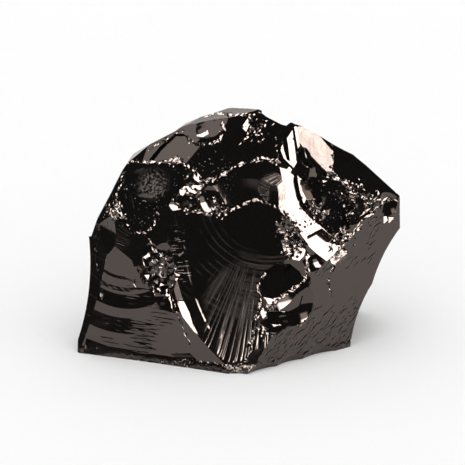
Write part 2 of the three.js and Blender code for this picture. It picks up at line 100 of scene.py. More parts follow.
SCARS = [
    # The showing side: one great bowl between a left and a right face.
    scar("great bowl", (5.5, 5.9, 25.5), (-4, 13), 60.8,
         ledges=((11.6, 0.04, 0.5), (12.9, 0.06, 0.7), (15.3, 0.02, 0.7), (18.3, 0.03, 0.8)),
         hackle=1.0),
    scar("left face", (-11.9, 1.3, 19.2), (-21, 6.4), 400),
    scar("right face", (10.8, 1.7, 16.3), (37, 5), 0),
    scar("left side", (-21.4, 6.6, 18.9), (-57, 9), 112),
    scar("sliver beside the bowl", (-10.4, 1.7, 16.3), (-9, 23), 0),
    scar("foot of the left side", (-25, 5.7, 4.3), (-94, -1), 0),
    scar("waist of the left side", (-23, 7.1, 12.5), (-100, -1), 35.2),
    # The left shoulder, stepped hollows under the crest.
    scar("shoulder hollow", (-13.3, 3.9, 22.3), (-29, 39), 17.6),
    scar("frosted hollow", (-12, 9.8, 29.4), (-20, 26), 13.6),
    scar("brow", (-1.4, 8.5, 30.5), (-13, 40), 0, hackle=0.6),
    scar("left nick", (-20.1, 6, 20.2), (-42, 14), 14.4),
    scar("left shoulder", (-20.1, 8.2, 23.7), (-59, 29), 0),
    scar("left brow", (-15.3, 12.9, 30.4), (-53, 51), 0),
    scar("flake under the brow", (-6.4, 7.2, 26.8), (14, 37), 3.5),
    scar("low flake under the brow", (-7.3, 6, 24.8), (-3, 26), 5.1, (1.2, 0.9)),
    scar("flake on the bowl rim", (-3.6, 6.4, 24.8), (3, 27), 5.4, (0.9, 1.2), 30),
    *numbered("rim chip", [
        ((-18.2, 8.9, 26.2), (-42, 38), 2.4),
        ((-16.2, 10.6, 28.3), (-38, 45), 1.9)]),
    *numbered("brow chip", [
        ((-12, 10.7, 29.7), (-20, 50), 2.2),
        ((-7.6, 10.7, 30.7), (-12, 48), 2.6, (1.4, 0.8)),
        ((-3.4, 10.7, 31.6), (-8, 46), 2)]),
    # The crest and its small bowls.
    scar("top slope", (-1, 9.8, 32.2), (-20, 56), 0),
    scar("crest", (0.4, 17.9, 36.2), (-77, 79), 0),
    scar("crest right", (6.1, 13.6, 35.5), (55, 72), 0),
    scar("crown step", (7, 12, 33.4), (-6, 40), 80),
    scar("ringed bowl", (-4.9, 14.6, 34.1), (0, 58), 12, rings=(0.9, 0.022)),
    scar("crown bowl", (0.6, 13.7, 34.4), (0, 50), 8),
    scar("notch in the crest", (8, 17.6, 33.9), (169, 56), 3.5),
    scar("upper bowl", (8.4, 6.4, 25.8), (-10, 32), 35.2, hackle=0.7),
    *numbered("lip chip", [
        ((-0.6, 9.5, 30.6), (2, 40), 1.9),
        ((3.9, 9.4, 30), (4, 38), 2.2, (1.4, 0.8))]),
    # The right shoulder: a long strip, the peak and two hollows that open onto the right face.
    scar("long strip", (8.6, 9, 29), (16, 32), 0),
    scar("crown flank", (10.9, 10.1, 29.7), (2, 45), 0),
    scar("peak face", (10.9, 15.1, 34.4), (24, 37), 48),
    scar("peak shoulder", (17.1, 15.6, 30.8), (46, 44), 0),
    scar("inner hollow", (11.3, 8.1, 28.6), (32, 10), 20.8),
    scar("outer hollow", (20.6, 10.3, 23.1), (32, 10), 19.2),
    scar("peak scoop", (12, 12.9, 30.6), (7, 31), 4.8, (0.8, 1.3)),
    scar("low peak scoop", (14.5, 12.3, 29.1), (19, 38), 4),
    *numbered("serration", [
        ((18.3, 11.1, 25.9), (22, 36), 1.9),
        ((20.3, 11.3, 24.8), (26, 36), 1.9, (1.4, 0.8)),
        ((22.6, 11.8, 23.4), (21, 33), 1.6)]),
    scar("corner pit", (25.2, 13.5, 20.1), (35, 28), 2.2, (0.8, 1.3)),
    # Broken ground between the bowl and the right face.
    scar("fin", (8.9, 3.8, 17.5), (14, 37), 4.8, (0.9, 1.2), 20),
    scar("deep pit", (13.1, 4.6, 15.7), (22, 22), 3.8),
    scar("low hollow", (5.4, 1.2, 13.7), (32, 9), 11.2),
    scar("low facet", (9.4, 1.2, 9.4), (37, 7), 7.2),
    scar("crescent", (7.2, -0.3, 7.4), (12, 14), 4, (1.2, 0.8)),
    # Chips down the ridge between the left face and the bowl.
    *numbered("ridge chip", [
        ((-12.9, 3, 16.5), (-13, 25), 2.2, (0.8, 1.3)),
        ((-11.3, 2.6, 15.9), (0, 34), 2.1),
        ((-12.5, 1.8, 13.8), (-19, 19), 2.1, (1.2, 1)),
        ((-11.2, 1.4, 12.8), (7, 31), 1.9),
        ((-12.9, 1.1, 11.9), (-13, 25), 2.2, (0.8, 1.4), 20),
        ((-11.1, 0.9, 10.6), (-5, 12), 1.8)]),
    # The outline, seen from the showing side.
    scar("left of the crest", (-7, 16.8, 34.7), (-112, 66), 0),
    scar("top of the crest", (1.9, 19.4, 36.5), (-160, 84), 0),
    scar("peak slope", (19.9, 16.2, 29.2), (115, 45), 64),
    scar("right corner", (25.5, 15.2, 24.3), (131, 35), 0),
    scar("right edge", (27.2, 14.3, 20.4), (105, -1), 0),
    scar("right undercut", (24.6, 11.5, 14), (89, -29), 25.6),
    scar("right foot", (20.2, 7.3, 4.8), (107, -24), 19.2),
    scar("left roof", (-15.4, 13.2, 30.5), (-101, 50), 0),
    scar("left edge", (-19.8, 9.2, 25), (-94, 27), 0),
    # The back: broad bowls with chipped ridges.
    scar("back bowl", (3.2, 25.6, 11.2), (172, 12), 80, rings=(7.2, 0.14)),
    scar("back left bowl", (-13.6, 18.4, 11.2), (-140, -5), 56, rings=(7.6, 0.15)),
    scar("back right bowl", (20.8, 20, 12.7), (140, 5), 48, rings=(6.4, 0.12)),
    scar("back foot", (0, 22.4, 2.4), (175, -40), 90),
    scar("upper back left bowl", (-6.4, 22.4, 20.7), (-160, 30), 32, rings=(6.2, 0.12)),
    scar("upper back right bowl", (9.6, 22.1, 22.4), (160, 35), 40, rings=(6.8, 0.12)),
    *numbered("back scallop", [
        ((-1, 26.3, 8.8), (178, -12), 5.5, (1.4, 0.9)),
        ((9.5, 24.9, 8.4), (172, -8), 7.5, (1.2, 0.9)),
        ((0.6, 21.4, 29.8), (178, 34), 6, (0.8, 1.3)),
        ((1.4, 23, 26), (172, 24), 3.6),
        ((-3.4, 25.1, 18.8), (-174, 20), 5.2, (1.3, 0.9), 30),
        ((9, 22.9, 20.9), (167, 26), 8, (1.4, 0.8)),
        ((-12, 21.3, 19.6), (-148, 12), 6.4, (1.3, 0.9), -30),
        ((-17.2, 18.2, 24), (-140, 20), 3.8),
        ((19.6, 20.4, 20.4), (150, 22), 5.2),
        ((22.8, 17.6, 11.6), (118, -12), 6, (0.8, 1.4)),
        ((17.3, 23.3, 6.4), (155, -20), 5),
        ((-7.6, 23.8, 4.6), (-155, -20), 5.4, (0.9, 1.3)),
        ((-22.3, 12.1, 8.6), (-120, -2), 6, (0.8, 1.3)),
        ((-22.3, 12.6, 15.6), (-118, 8), 4),
        ((-20.4, 15.1, 21.6), (-115, 16), 5, (0.8, 1.3), 20)]),
    # Chips along the outline and the foot, where the lump has been knocked.
    *numbered("edge chip", [
        ((-20, 8.6, 23.6), (-75, 28), 2.6, (0.8, 1.4)),
        ((-15.4, 12.8, 30), (-75, 50), 2.2, (1.3, 0.9)),
        ((-9.8, 15.4, 33.4), (-62, 62), 2.8, (1.3, 0.8)),
        ((24.4, 16.6, 22.8), (132, 28), 3.2),
        ((24, 11.3, 13.8), (58, -14), 2.8, (0.8, 1.4)),
        ((20.2, 7.9, 7.2), (62, -14), 3.2, (0.9, 1.3)),
        ((-24.3, 4.3, 2.6), (-72, 12), 2.6),
        ((12.3, 15.2, 33.6), (70, 52), 1.9)]),
    *numbered("foot chip", [
        ((-20.4, 0.3, 0.9), (-24, -28), 5, (1.3, 0.8)),
        ((-16.2, -1.3, 0.8), (-22, -30), 6, (1.2, 0.8)),
        ((-12.2, -2.8, 0.7), (-20, -24), 3.6, (1.3, 0.8)),
        ((-7.8, -4.6, 0.9), (-20, -30), 6, (1.2, 0.8)),
        ((-3.6, -5.9, 0.8), (-8, -30), 3.2),
        ((0.4, -6.2, 0.9), (2, -30), 4.4, (1.2, 0.8)),
        ((4.6, -4.4, 0.9), (38, -32), 5.6, (1.3, 0.8)),
        ((9.2, -0.8, 1), (36, -30), 4.6, (1.2, 0.8)),
        ((13.6, 2.6, 0.8), (36, -28), 5, (1.3, 0.8))]),
]

# ---------------------------------------------------------------- drawn from the front
# Outlines and lines are drawn on a grid over the camera's view, in squares across and down.
SQUARE = 0.16                 # millimetres across one square
GRID_MIDDLE = 232.5           # the square, across and down, that the camera looks at

CATCH = (17, 36)              # a facet that faces this way mirrors the softbox
CATCH_SPREAD = 4              # degrees by which small facets stray from it

# Flat breaks: facing, the share of the outline in percent that lies too deep to be cut, hackle
# and frost, outline.
FLAKES = [
    ("below the strip", (18, 37), 15, (0, 0.2),
     [(330, 258), (336, 253), (344, 247), (348, 252), (344, 261), (338, 266), (331, 263)]),
    ("bright sliver", CATCH, 30, (0, 0),
     [(161, 284), (166, 282), (170, 293), (173, 309), (168, 307), (161, 296)]),
    ("dark sliver", (-24, 28), 35, (0, 0),
     [(169, 268), (173, 285), (177, 303), (186, 328), (192, 345), (188, 345), (180, 330), (173, 312),
      (170, 293)]),
    ("rim of the bowl", CATCH, 35, (0, 0),
     [(178, 300), (185, 300), (190, 312), (197, 340), (195, 345), (190, 335), (183, 318)]),
    ("flake by the brow", CATCH, 5, (0, 0),
     [(181, 186), (203, 184), (201, 189), (195, 194), (188, 191), (181, 192)]),
    ("brow streak", (18, 37), 40, (0, 0.1),
     [(187, 163), (192, 166), (198, 174), (205, 186), (200, 186), (194, 178), (189, 171)]),
    ("spot 1", CATCH, 30, (0, 0),
     [(266, 297), (271, 295), (275, 300), (271, 305), (266, 303)]),
    ("spot 2", CATCH, 30, (0, 0),
     [(262, 309), (266, 311), (266, 319), (262, 321), (260, 315)]),
    ("fin face", (17, 35), 35, (0, 0.15),
     [(286, 232), (294, 240), (297, 246), (307, 247), (304, 256), (298, 262), (293, 260), (288, 250),
      (284, 240)]),
    ("corner fleck 1", (18, 37), 30, (0, 0),
     [(384, 214), (388, 215), (387, 228), (384, 225)]),
    ("corner fleck 2", (16, 35), 30, (0, 0),
     [(389, 215), (394, 217), (391, 227), (389, 224)]),
    ("crown chip", CATCH, 40, (0, 0.1),
     [(240, 118), (247, 117), (250, 124), (246, 132), (241, 127)]),
    ("ring chip", CATCH, 35, (0, 0),
     [(196, 131), (206, 128), (210, 133), (203, 137), (197, 136)]),
    ("low hollow", (6, 19), 12, (0, 0),
     [(258, 283), (266, 270), (277, 264), (290, 264), (300, 272), (303, 280), (297, 290), (285, 296),
      (272, 299), (262, 297)]),
    ("foot of the hollow", CATCH, 30, (0, 0.1),
     [(263, 297), (272, 299), (285, 296), (289, 299), (281, 303), (270, 304)]),
    ("brown facet", (33, 5), 30, (0, 0),
     [(281, 300), (292, 293), (303, 296), (300, 306), (290, 312), (280, 311)]),
    ("crescent", (2, 17), 30, (0, 0),
     [(267, 312), (280, 311), (290, 313), (287, 320), (278, 325), (268, 324)]),
    ("dark of the hollow", (37, 14), 12, (0, 0),
     [(316, 214), (330, 206), (345, 210), (348, 226), (340, 240), (328, 233), (319, 224)]),
    ("shoulder streaks", CATCH, 40, (1, 0.1),
     [(113, 200), (119, 203), (123, 214), (121, 219), (114, 213), (110, 206)]),
    ("upper stripe", CATCH, 25, (0, 0),
     [(276, 130), (297, 124), (300, 146), (298, 160), (294, 168), (284, 158), (279, 145)]),
    ("peak bowl", (23, 37), 5, (0.2, 0.12),
     [(297, 124), (305, 119), (317, 122), (328, 136), (333, 152), (335, 171), (326, 171), (316, 161),
      (307, 151), (299, 142)]),
    ("dark stripe 1", (-14, 30), 3, (0, 0),
     [(280, 129), (285, 127), (288, 145), (290, 161), (287, 160), (284, 150)]),
    ("dark stripe 2", (-14, 30), 3, (0, 0),
     [(292, 126), (294, 125), (298, 150), (296, 160)]),
    ("dark patch", (-20, 22), 30, (0, 0),
     [(301, 147), (309, 151), (315, 160), (312, 169), (304, 165), (298, 156)]),
    ("mouth of the hollow", (-20, 20), 14, (0, 0),
     [(300, 180), (312, 176), (330, 181), (334, 192), (323, 201), (312, 208), (306, 199), (302, 190)]),
    ("crown slope", (-23, 54), 45, (0, 0),
     [(149, 160), (160, 146), (175, 134), (184, 134), (193, 143), (205, 149), (222, 147), (233, 150),
      (238, 160), (222, 163), (205, 165), (188, 164), (165, 163)]),
    ("foot of the frosted hollow", (-12, 32), 12, (0, 0),
     [(130, 189), (140, 197), (152, 198), (161, 191), (163, 203), (150, 211), (134, 209)]),
    ("splinter 1", CATCH, 40, (0, 0.1),
     [(141, 259), (150, 252), (154, 262), (147, 273)]),
    ("splinter 2", (60, 30), 40, (0, 0.1),
     [(152, 268), (160, 262), (165, 276), (158, 284)]),
    ("splinter 3", (-10, 12), 40, (0, 0.1),
     [(143, 276), (151, 274), (156, 290), (150, 292)]),
    ("splinter 4", (19, 33), 40, (0, 0.1),
     [(154, 286), (161, 282), (166, 296), (161, 299)]),
    ("hollow step", (30, 24), 25, (0, 0),
     [(262, 272), (280, 262), (291, 266), (283, 276), (270, 284)]),
    ("strip", CATCH, 12, (0.1, 0.05),
     [(279, 163), (291, 165), (297, 172), (298, 182), (300, 192), (303, 202), (308, 211), (315, 220),
      (323, 228), (332, 236), (340, 244), (342, 252), (335, 262), (327, 261), (318, 254), (309, 245),
      (301, 235), (294, 224), (289, 213), (286, 202), (284, 188), (281, 174)]),
    ("end of the strip", CATCH, 8, (0.1, 0.05),
     [(307, 236), (322, 228), (332, 236), (340, 243), (342, 253), (335, 263), (327, 261), (317, 254),
      (309, 246)]),
    ("floor of the hollow", (30, 17), 12, (0, 0),
     [(314, 196), (325, 192), (345, 198), (353, 208), (345, 215), (330, 209), (318, 213)]),
    ("ledge by the hollow", (20, 20), 12, (0, 0),
     [(345, 197), (358, 194), (373, 198), (372, 207), (358, 213), (349, 208)]),
    ("foot 1", (-24, 26), 60, (0, 0.05),
     [(86, 338), (108, 346), (140, 351), (150, 353), (150, 370), (118, 371), (84, 352)]),
    ("foot 2", (-6, 30), 60, (0, 0.05),
     [(150, 353), (172, 354), (190, 353), (197, 360), (190, 369), (150, 370)]),
    ("foot 3", (8, 22), 60, (0, 0.05),
     [(197, 360), (215, 358), (240, 362), (252, 352), (262, 346), (256, 366), (238, 374), (190, 371)]),
    ("bowl chip", CATCH, 40, (0, 0),
     [(176, 189), (186, 190), (184, 197), (177, 196)]),
]
# What is broken off right through the stone along its outline.
TRIMS = [
    ("left shoulder",
     [(91, 236), (98, 216), (108, 198), (122, 171), (133, 154), (152, 143), (175, 131), (192, 119),
      (208, 110), (150, 60), (60, 150), (60, 236)]),
    ("notch beside the peak",
     [(262, 113), (267, 117), (281, 124.5), (286, 125.5), (292, 121), (294, 110), (262, 105)]),
]
# Rims splintered into fine shards: their size, how often they catch the light, the line.
RIMS = [
    ("edge of the great bowl", 0.62, 0.65,
     [(172, 197), (175, 203), (185, 210), (202, 213), (218, 215), (232, 210), (245, 203), (257, 200),
      (272, 205), (283, 208), (292, 222)]),
    ("edge of the upper bowl", 0.62, 0.65,
     [(158, 162), (175, 160), (188, 165), (202, 180), (215, 178), (228, 170), (248, 162), (265, 158),
      (278, 163)]),
    ("shoulder ridge", 0.62, 0.65,
     [(125, 160), (142, 162), (158, 162)]),
    ("dark hollow of the shoulder", 0.45, 0.4,
     [(125, 170), (118, 187), (115, 203), (122, 217), (135, 233), (147, 233), (155, 222), (158, 210)]),
    ("crown slope edge", 0.35, 0.4,
     [(148, 150), (162, 142), (178, 132), (188, 130)]),
    ("first scallop", 0.5, 0.6,
     [(185, 135), (192, 142), (205, 145), (218, 140), (225, 130), (222, 120)]),
    ("second scallop", 0.55, 0.6,
     [(240, 143), (248, 133), (252, 123), (249, 114)]),
    ("crown line", 0.5, 0.6,
     [(205, 115), (218, 113), (235, 115), (255, 114)]),
    ("top of the hollow", 0.62, 0.65,
     [(322, 173), (342, 180), (352, 193), (365, 197), (382, 200), (396, 201)]),
    ("right of the hollow", 0.62, 0.65,
     [(352, 212), (347, 227), (338, 235), (332, 243), (329, 258)]),
    ("fins", 0.5, 0.6,
     [(368, 210), (358, 217), (352, 213)]),
    ("edge of the right face", 0.35, 0.3,
     [(335, 265), (328, 277), (330, 290), (332, 297)]),
    ("top of the right face", 0.55, 0.6,
     [(335, 258), (341, 246), (355, 232), (368, 217), (378, 208)]),
    ("brow ridge", 0.55, 0.6,
     [(147, 237), (155, 253), (165, 257), (167, 267), (168, 280)]),
    ("right rim of the bowl", 0.62, 0.65,
     [(278, 233), (292, 230), (288, 240), (305, 247), (308, 260), (305, 280), (292, 290), (275, 300),
      (262, 313)]),
    ("foot of the front", 0.4, 0.35,
     [(95, 347), (118, 360), (158, 363), (190, 360), (235, 367), (248, 360), (255, 333)]),
    ("left edge", 0.35, 0.4,
     [(100, 217), (95, 240), (97, 260), (100, 287), (102, 300)]),
    ("low hollow", 0.5, 0.6,
     [(265, 273), (258, 287), (260, 303), (255, 327), (248, 347)]),
    ("left of the strip", 0.35, 0.4,
     [(275, 137), (278, 160), (283, 168)]),
    ("peak ridge", 0.35, 0.4,
     [(332, 143), (334, 172), (352, 190)]),
    ("lower ridge of the left face", 0.4, 0.4,
     [(171, 295), (178, 318), (190, 345)]),
]
RIM_SPACING = 0.22            # millimetres between the shards of a rim
RIM_SPREAD = 0.12             # how far they stray from the line

# Crushed places: middle, reach, how many shards, their size and how often they catch the light.
CRUSHED = [
    ((-12.0, 2.0, 14.0), 3.0, 120, 1.2, 0.5),
    ((-19.0, 6.5, 23.0), 2.0, 60, 0.55, 0.6),
    ((-6.0, 7.4, 26.4), 3.2, 26, 0.6, 0.5),
    ((-2.2, 6.0, 23.8), 2.0, 34, 0.6, 0.6),
    ((-9.0, 9.6, 30.3), 1.4, 20, 0.5, 0.5),
    ((9.2, 5.4, 21.2), 2.2, 60, 0.55, 0.5),
    ((9.2, 4.2, 18.0), 2.0, 60, 0.6, 0.6),
    ((13.6, 7.4, 22.6), 2.4, 80, 0.4, 0.5),
    ((19.0, 10.4, 24.8), 2.8, 70, 0.55, 0.4),
    ((22.6, 12.0, 23.0), 1.8, 40, 0.55, 0.4),
    ((4.2, 14.2, 34.4), 2.6, 40, 0.5, 0.4),
    ((17.9, 7.6, 18.6), 1.8, 50, 0.55, 0.5),
    ((5.0, -1.6, 6.0), 1.2, 24, 0.5, 0.5),
]
CRUSHED_CHIPS = 3             # one chip for so many shards
CRUSHED_SHARD = 0.75          # half length of a shard beside the size
CRUSHED_SPREAD = 0.42         # how far shards stray from the middle, beside the reach
SHARD_SEED = 11
SHARD_POINTS = 8              # of the tool for one shard
SHARD_FROST = 0.03
SHARD_NUMBER = 500            # the breaks of shards are numbered from here
SHARD_NUMBERS = 97            # and this many numbers are used in turn
PROBES = (0.0, 0.4, 0.7, 0.95)    # how far out toward its corners a flake's depth is probed
GAP = 0.02                    # least distance between two tools of one cut
NOWHERE = 1000                # depth of a flake that no sight line meets, so that it cuts nothing

# Softbox and white cards: facing, half width and half height in degrees; of cards, brightness.
SOFTBOX = ((41, 49), 12, 12)
SOFTBOX_EDGE = 2.0            # degrees over which its light fades out
CARDS = [
    ((41, 29), 10, 7, 2.2),
    ((-111, 71), 20, 20, 1.4),
    ((180, 12), 40, 18, 1.2),
    ((-8, 34), 10, 6, 0.35),
]
CARD_EDGE = 3.0
LAMP_COLOUR = (1.0, 0.985, 0.96, 1.0)
PLAIN_LIGHT = 1.05            # brightness of the even light on the table
SENSOR_WIDTH = 36.0           # of the camera
SIGHT_CLIMB = 20              # how steeply the camera looks down, in degrees
SIGHT = np.array([0, -math.cos(math.radians(SIGHT_CLIMB)), math.sin(math.radians(SIGHT_CLIMB))])
AIM = np.array([0, 0, 21.93])     # what the camera looks at, before the lump is seated
EYE_DISTANCE = 900
EYE = AIM + SIGHT * EYE_DISTANCE
THROUGH = 40                  # this far behind the aim lies nothing of the stone
BATCH = 20                    # how many scars are cut at a time
LEAST_FACES = 100             # a stone with fewer faces has been lost in a cut

# Waves of the left face: distance from their middle, half width, height, and where they fade.
WAVE_MIDDLE = (-17.5, 3.2, 20.1)
WAVES = [
    (7.0, 0.25, 0.04, -16.0, 1.2), (8.9, 0.35, 0.055, -15.0, 1.6), (10.9, 1.15, 0.27, -10.6, 2.0),
    (13.3, 0.22, 0.035, -10.6, 2.0), (14.9, 1.3, 0.36, -14.6, 2.2), (17.2, 0.4, 0.06, -19.4, 1.4),
]
WAVE_TAIL = 2.4               # how far each wave takes to level out below its steep side
# Terraces of the great bowl: distance from its start, half width and height.
BOWL_START = SCARS[0]["at"]
RINGS = [
    (9.4, 0.22, 0.02), (10.1, 0.16, 0.014), (10.9, 0.2, 0.02), (11.6, 0.14, -0.02),
    (12.6, 0.35, -0.05), (13.4, 0.25, 0.03), (15.2, 0.12, 0.02), (15.9, 0.14, -0.02),
    (19.2, 0.3, -0.05), (6.4, 0.3, 0.012),
]
# The raised rim down the left of the bowl, in the same terms, and the notches across it.
RIM_MIDDLE = (25.4, 1.5, 22.3)
RIM = [(35.9, 0.5, 0.16), (37.4, 0.3, -0.06), (33.4, 0.12, 0.02)]
NOTCHED = ((-8.9, 3.2, 17.4), 5.0)
# Low scales down the left side: their height, and how far each stands out at its foot.
SCALE_HEIGHT = 3.1
SCALE_RISE = 0.5
# Height of the other relief of the glass.
STROKE_HEIGHT = 0.05          # short curved strokes on the right face
COMB_HEIGHT = 0.10
NOTCH_HEIGHT = 0.009
FOOT_HEIGHT = 0.25            # knocks along the foot
ARC_HEIGHT = 0.0012           # faint arcs between the ripples
UNEVEN_HEIGHT = 0.03
FROST_HEIGHT = 0.035          # grain of the frosted places
GRAIN_HEIGHT = 0.00015        # grain of the clear glass
# Combed places: middle, reach and depth of their lines.
COMBED = [
    ((1.2, -0.2, 10.4), 5.0, 1.0), ((1.0, -1.9, 6.4), 5.0, 1.0), ((6.9, 7.4, 27.0), 2.4, 0.8),
    ((-18.4, 3.6, 19.6), 1.8, 0.7),
]
# Frosted places: middle and reach.
FROSTED = [((-12.8, 8.4, 27.2), 2.2), ((17.2, 6.9, 15.4), 1.2)]
# Places with pale specks of crushed glass, painted as glints: middle and reach.
GLINT_SPECK_PLACES = [((-15.5, 6.5, 24.5), 4.5), ((14.0, 7.5, 23.0), 6.0), ((-5.0, 8.5, 28.5), 5.0)]
# How much dust each kind of place holds, where on the arcs and combed lines of the great bowl it is a
# painted reflection, and how much duller it is than a fresh break.
FROST_DUST, CLOUD_DUST, PAINTED_ARC_LEVEL, PAINTED_COMB_LEVEL = 0.9, 0.03, 0.1, 0.22
FROST_MATT, CLOUD_MATT, BRUISE_MATT = 0.35, 0.03, 0.25


def is_large(one):
    """Whether a scar is one of the large ones, which are cut before the others."""
    return (one["radius"] or FLAT) >= LARGE


def scar_number(name):
    """The number that the points of a large scar carry."""
    large = [one["name"] for one in SCARS if is_large(one)]
    return float(large.index(name))


BOWL_NUMBER = scar_number("great bowl")
SIDE_NUMBER = scar_number("left side")
RIGHT_NUMBER = scar_number("right face")
LEFT_NUMBER = scar_number("left face")


# ---------------------------------------------------------------- settings
class ShungiteStone(bpy.types.PropertyGroup):
    """Sizes and colours of the lump."""

    ripple_scale: FloatProperty(
        name="Ripple height", description="Height of the ripples on the scars, 1 as found",
        default=1.0, min=0.0, max=3.0)
    chip_count: IntProperty(
        name="Ridge chips", description="How many small chips are knocked off along the ridges",
        default=1700, min=0, max=9000)
    chip_size: FloatProperty(
        name="Chip size", description="Radius of a middling ridge chip",
        default=0.0005, min=0.0001, max=0.003, subtype="DISTANCE", unit="LENGTH")
    ridge_angle: FloatProperty(
        name="Ridge angle", description="Breaks that meet more sharply than this leave a hard edge",
        default=math.radians(24), min=0.0, max=math.pi, subtype="ANGLE", unit="ROTATION")
    carbon: FloatVectorProperty(
        name="Carbon", description="Colour of the fresh glassy carbon",
        default=(0.0042, 0.0038, 0.0036), size=3, min=0.0, max=1.0, subtype="COLOR")
    # Also the colour of the grey arcs and lines painted on the great bowl as painted reflections.
    dust: FloatVectorProperty(
        name="Dust", description="Colour of the fine dust that stays in rough places",
        default=(0.20, 0.18, 0.16), size=3, min=0.0, max=1.0, subtype="COLOR")
    gleam: FloatVectorProperty(
        name="Gleam", description="Warm tint of the reflections",
        default=(1.0, 0.82, 0.74), size=3, min=0.0, max=1.0, subtype="COLOR")
    # Pale colour of crushed glass, also used for the painted glints on chips and in specks.
    bruise_and_glint: FloatVectorProperty(
        name="Bruise", description="Pale colour of crushed glass along the ridges",
        default=(0.62, 0.57, 0.52), size=3, min=0.0, max=1.0, subtype="COLOR")
    polish: FloatProperty(
        name="Roughness", description="Roughness of a fresh break",
        default=0.07, min=0.0, max=1.0, subtype="FACTOR")


class ShungiteStage(bpy.types.PropertyGroup):
    """Table, light and camera."""

    table_width: FloatProperty(
        name="Table width", description="Width of the pale table top",
        default=8.0, min=0.5, max=50.0, subtype="DISTANCE", unit="LENGTH")
    table_colour: FloatVectorProperty(
        name="Table colour", description="Colour of the pale table top",
        default=(0.94, 0.94, 0.94), size=3, min=0.0, max=1.0, subtype="COLOR")
    key_strength: FloatProperty(
        name="Softbox", description="Brightness of the softbox, against a white card",
        default=19.0, min=0.0, max=100.0)
    room: FloatProperty(
        name="Dark room", description="Brightness of the room between the cards",
        default=0.018, min=0.0, max=1.0)
    camera_distance: FloatProperty(
        name="Camera distance", description="From the middle of the lump to the lens",
        default=EYE_DISTANCE / 1000, min=0.2, max=5.0, subtype="DISTANCE", unit="LENGTH")
    camera_climb: FloatProperty(
        name="Camera climb", description="How far the camera looks down on the lump",
        default=math.radians(SIGHT_CLIMB), min=0.0, max=math.pi / 2, subtype="ANGLE",
        unit="ROTATION")
    view_width: FloatProperty(
        name="View width", description="What the camera takes in at the lump",
        default=0.0744, min=0.01, max=1.0, subtype="DISTANCE", unit="LENGTH")


# ---------------------------------------------------------------- form of one scar
def direction(facing):
    """Unit vector for a bearing and a climb."""
    b, c = math.radians(facing[0]), math.radians(facing[1])
    return np.array([math.cos(c) * math.sin(b), -math.cos(c) * math.cos(b), math.sin(c)])


def ring_distances(one, radius):
    """Distances from the start of the break at which its surface gets a ring of points."""
    whole = radius <= WHOLE_BALL
    farthest = math.pi * radius if whole else radius * math.asin(REACH / radius)
    if radius == FLAT and not (one["rings"] or one["ledges"]):
        return [farthest]
    step = min(STEP, radius * SMALL_STEP)
    if one["rings"]:
        step = min(step, one["rings"][0] / RIPPLE_RINGS)
    for _, _, width in one["ledges"]:
        step = min(step, width / LEDGE_RINGS)
    step = max(step, LEAST_STEP)
    distances, gap, d = [], step, step
    while d < farthest - 0.4 * gap:
        distances.append(d)
        if d > FINE_REACH or (whole and d > 1.5 * radius):
            gap *= SPREAD_OUT
        d += gap
    return distances + [farthest]


def ripple_height(one, d, angle):
    """Height of the ripples at distance d from the start of the break, in millimetres."""
    height = np.zeros_like(angle)
    if one["rings"]:
        spacing, amplitude = one["rings"]
        drift = 0.6 * np.sin(2 * angle + spacing) + 0.35 * np.sin(5 * angle)
        rise = amplitude * min(1.0, d / spacing)
        height += rise * np.sin(2 * math.pi * d / spacing + drift)
    for distance, amplitude, width in one["ledges"]:
        height += amplitude * math.exp(-(((d - distance) / width) ** 2))
    return height


def points_around(one, radius):
    """How many points stand on each ring."""
    if radius < 3:
        return 20
    if radius < 9:
        return 30
    if one["rings"] or one["ledges"]:
        return 100 if radius > 45 else 72
    return 25 if radius == FLAT else 64


def shallow(one):
    """A small chip as a wide shallow flake, which is how the glass really lets go."""
    radius = one["radius"]
    if not 0 < radius < CHIP_RADIUS:
        return one
    out = direction(one["facing"])
    at = tuple(np.array(one["at"]) + out * CHIP_LIFT * radius)
    return dict(one, radius=radius * CHIP_WIDENING, at=at)


def scar_tool(one, ripple_scale):
    """The closed tool that clears a scar: its points, its faces and its flow.

    The flow is how far each point lies from the start of the break, across and along.
    """
    one = shallow(one)
    radius = one["radius"] or FLAT
    around = points_around(one, radius)
    angle = np.arange(around) * 2 * math.pi / around
    sides = np.stack([np.sin(angle), np.zeros(around), np.cos(angle)], 1)
    whole = radius <= WHOLE_BALL
    distances = ring_distances(one, radius)
    rows, spread = [], []
    for d in distances[:-1] if whole else distances:
        a = d / radius
        row = sides * radius * math.sin(a)
        row[:, 1] = radius * (1 - math.cos(a))
        if d <= REACH:
            inward = -sides * math.sin(a)
            inward[:, 1] = math.cos(a)
            row += inward * (ripple_scale * ripple_height(one, d, angle))[:, None]
        rows.append(row)
        spread.append(sides[:, [0, 2]] * d)
    if whole:
        top = np.array([0, 2 * radius, 0])
    else:
        rim = rows[-1].copy()
        rim[:, 1] = HEADROOM
        rows.append(rim)
        spread.append(spread[-1])
        top = np.array([0, HEADROOM, 0])
    points = np.concatenate([[np.zeros(3)]] + rows + [[top]])
    flow = np.concatenate([np.zeros((1, 2))] + spread + [np.zeros((1, 2))])

    spot = np.arange(around)
    following = np.roll(spot, -1)
    faces = [np.stack([np.zeros(around), 1 + following, 1 + spot], 1)]
    for i in range(len(rows) - 1):
        a, b = 1 + i * around + spot, 1 + i * around + following
        faces.append(np.stack([a, b, b + around], 1))
        faces.append(np.stack([a, b + around, a + around], 1))
    last, first = len(points) - 1, 1 + (len(rows) - 1) * around
    faces.append(np.stack([np.full(around, last), first + spot, first + following], 1))
    faces = np.concatenate(faces)

    points[:, 0] *= one["stretch"][0]
    points[:, 2] *= one["stretch"][1]
    return place(points, one), faces, flow


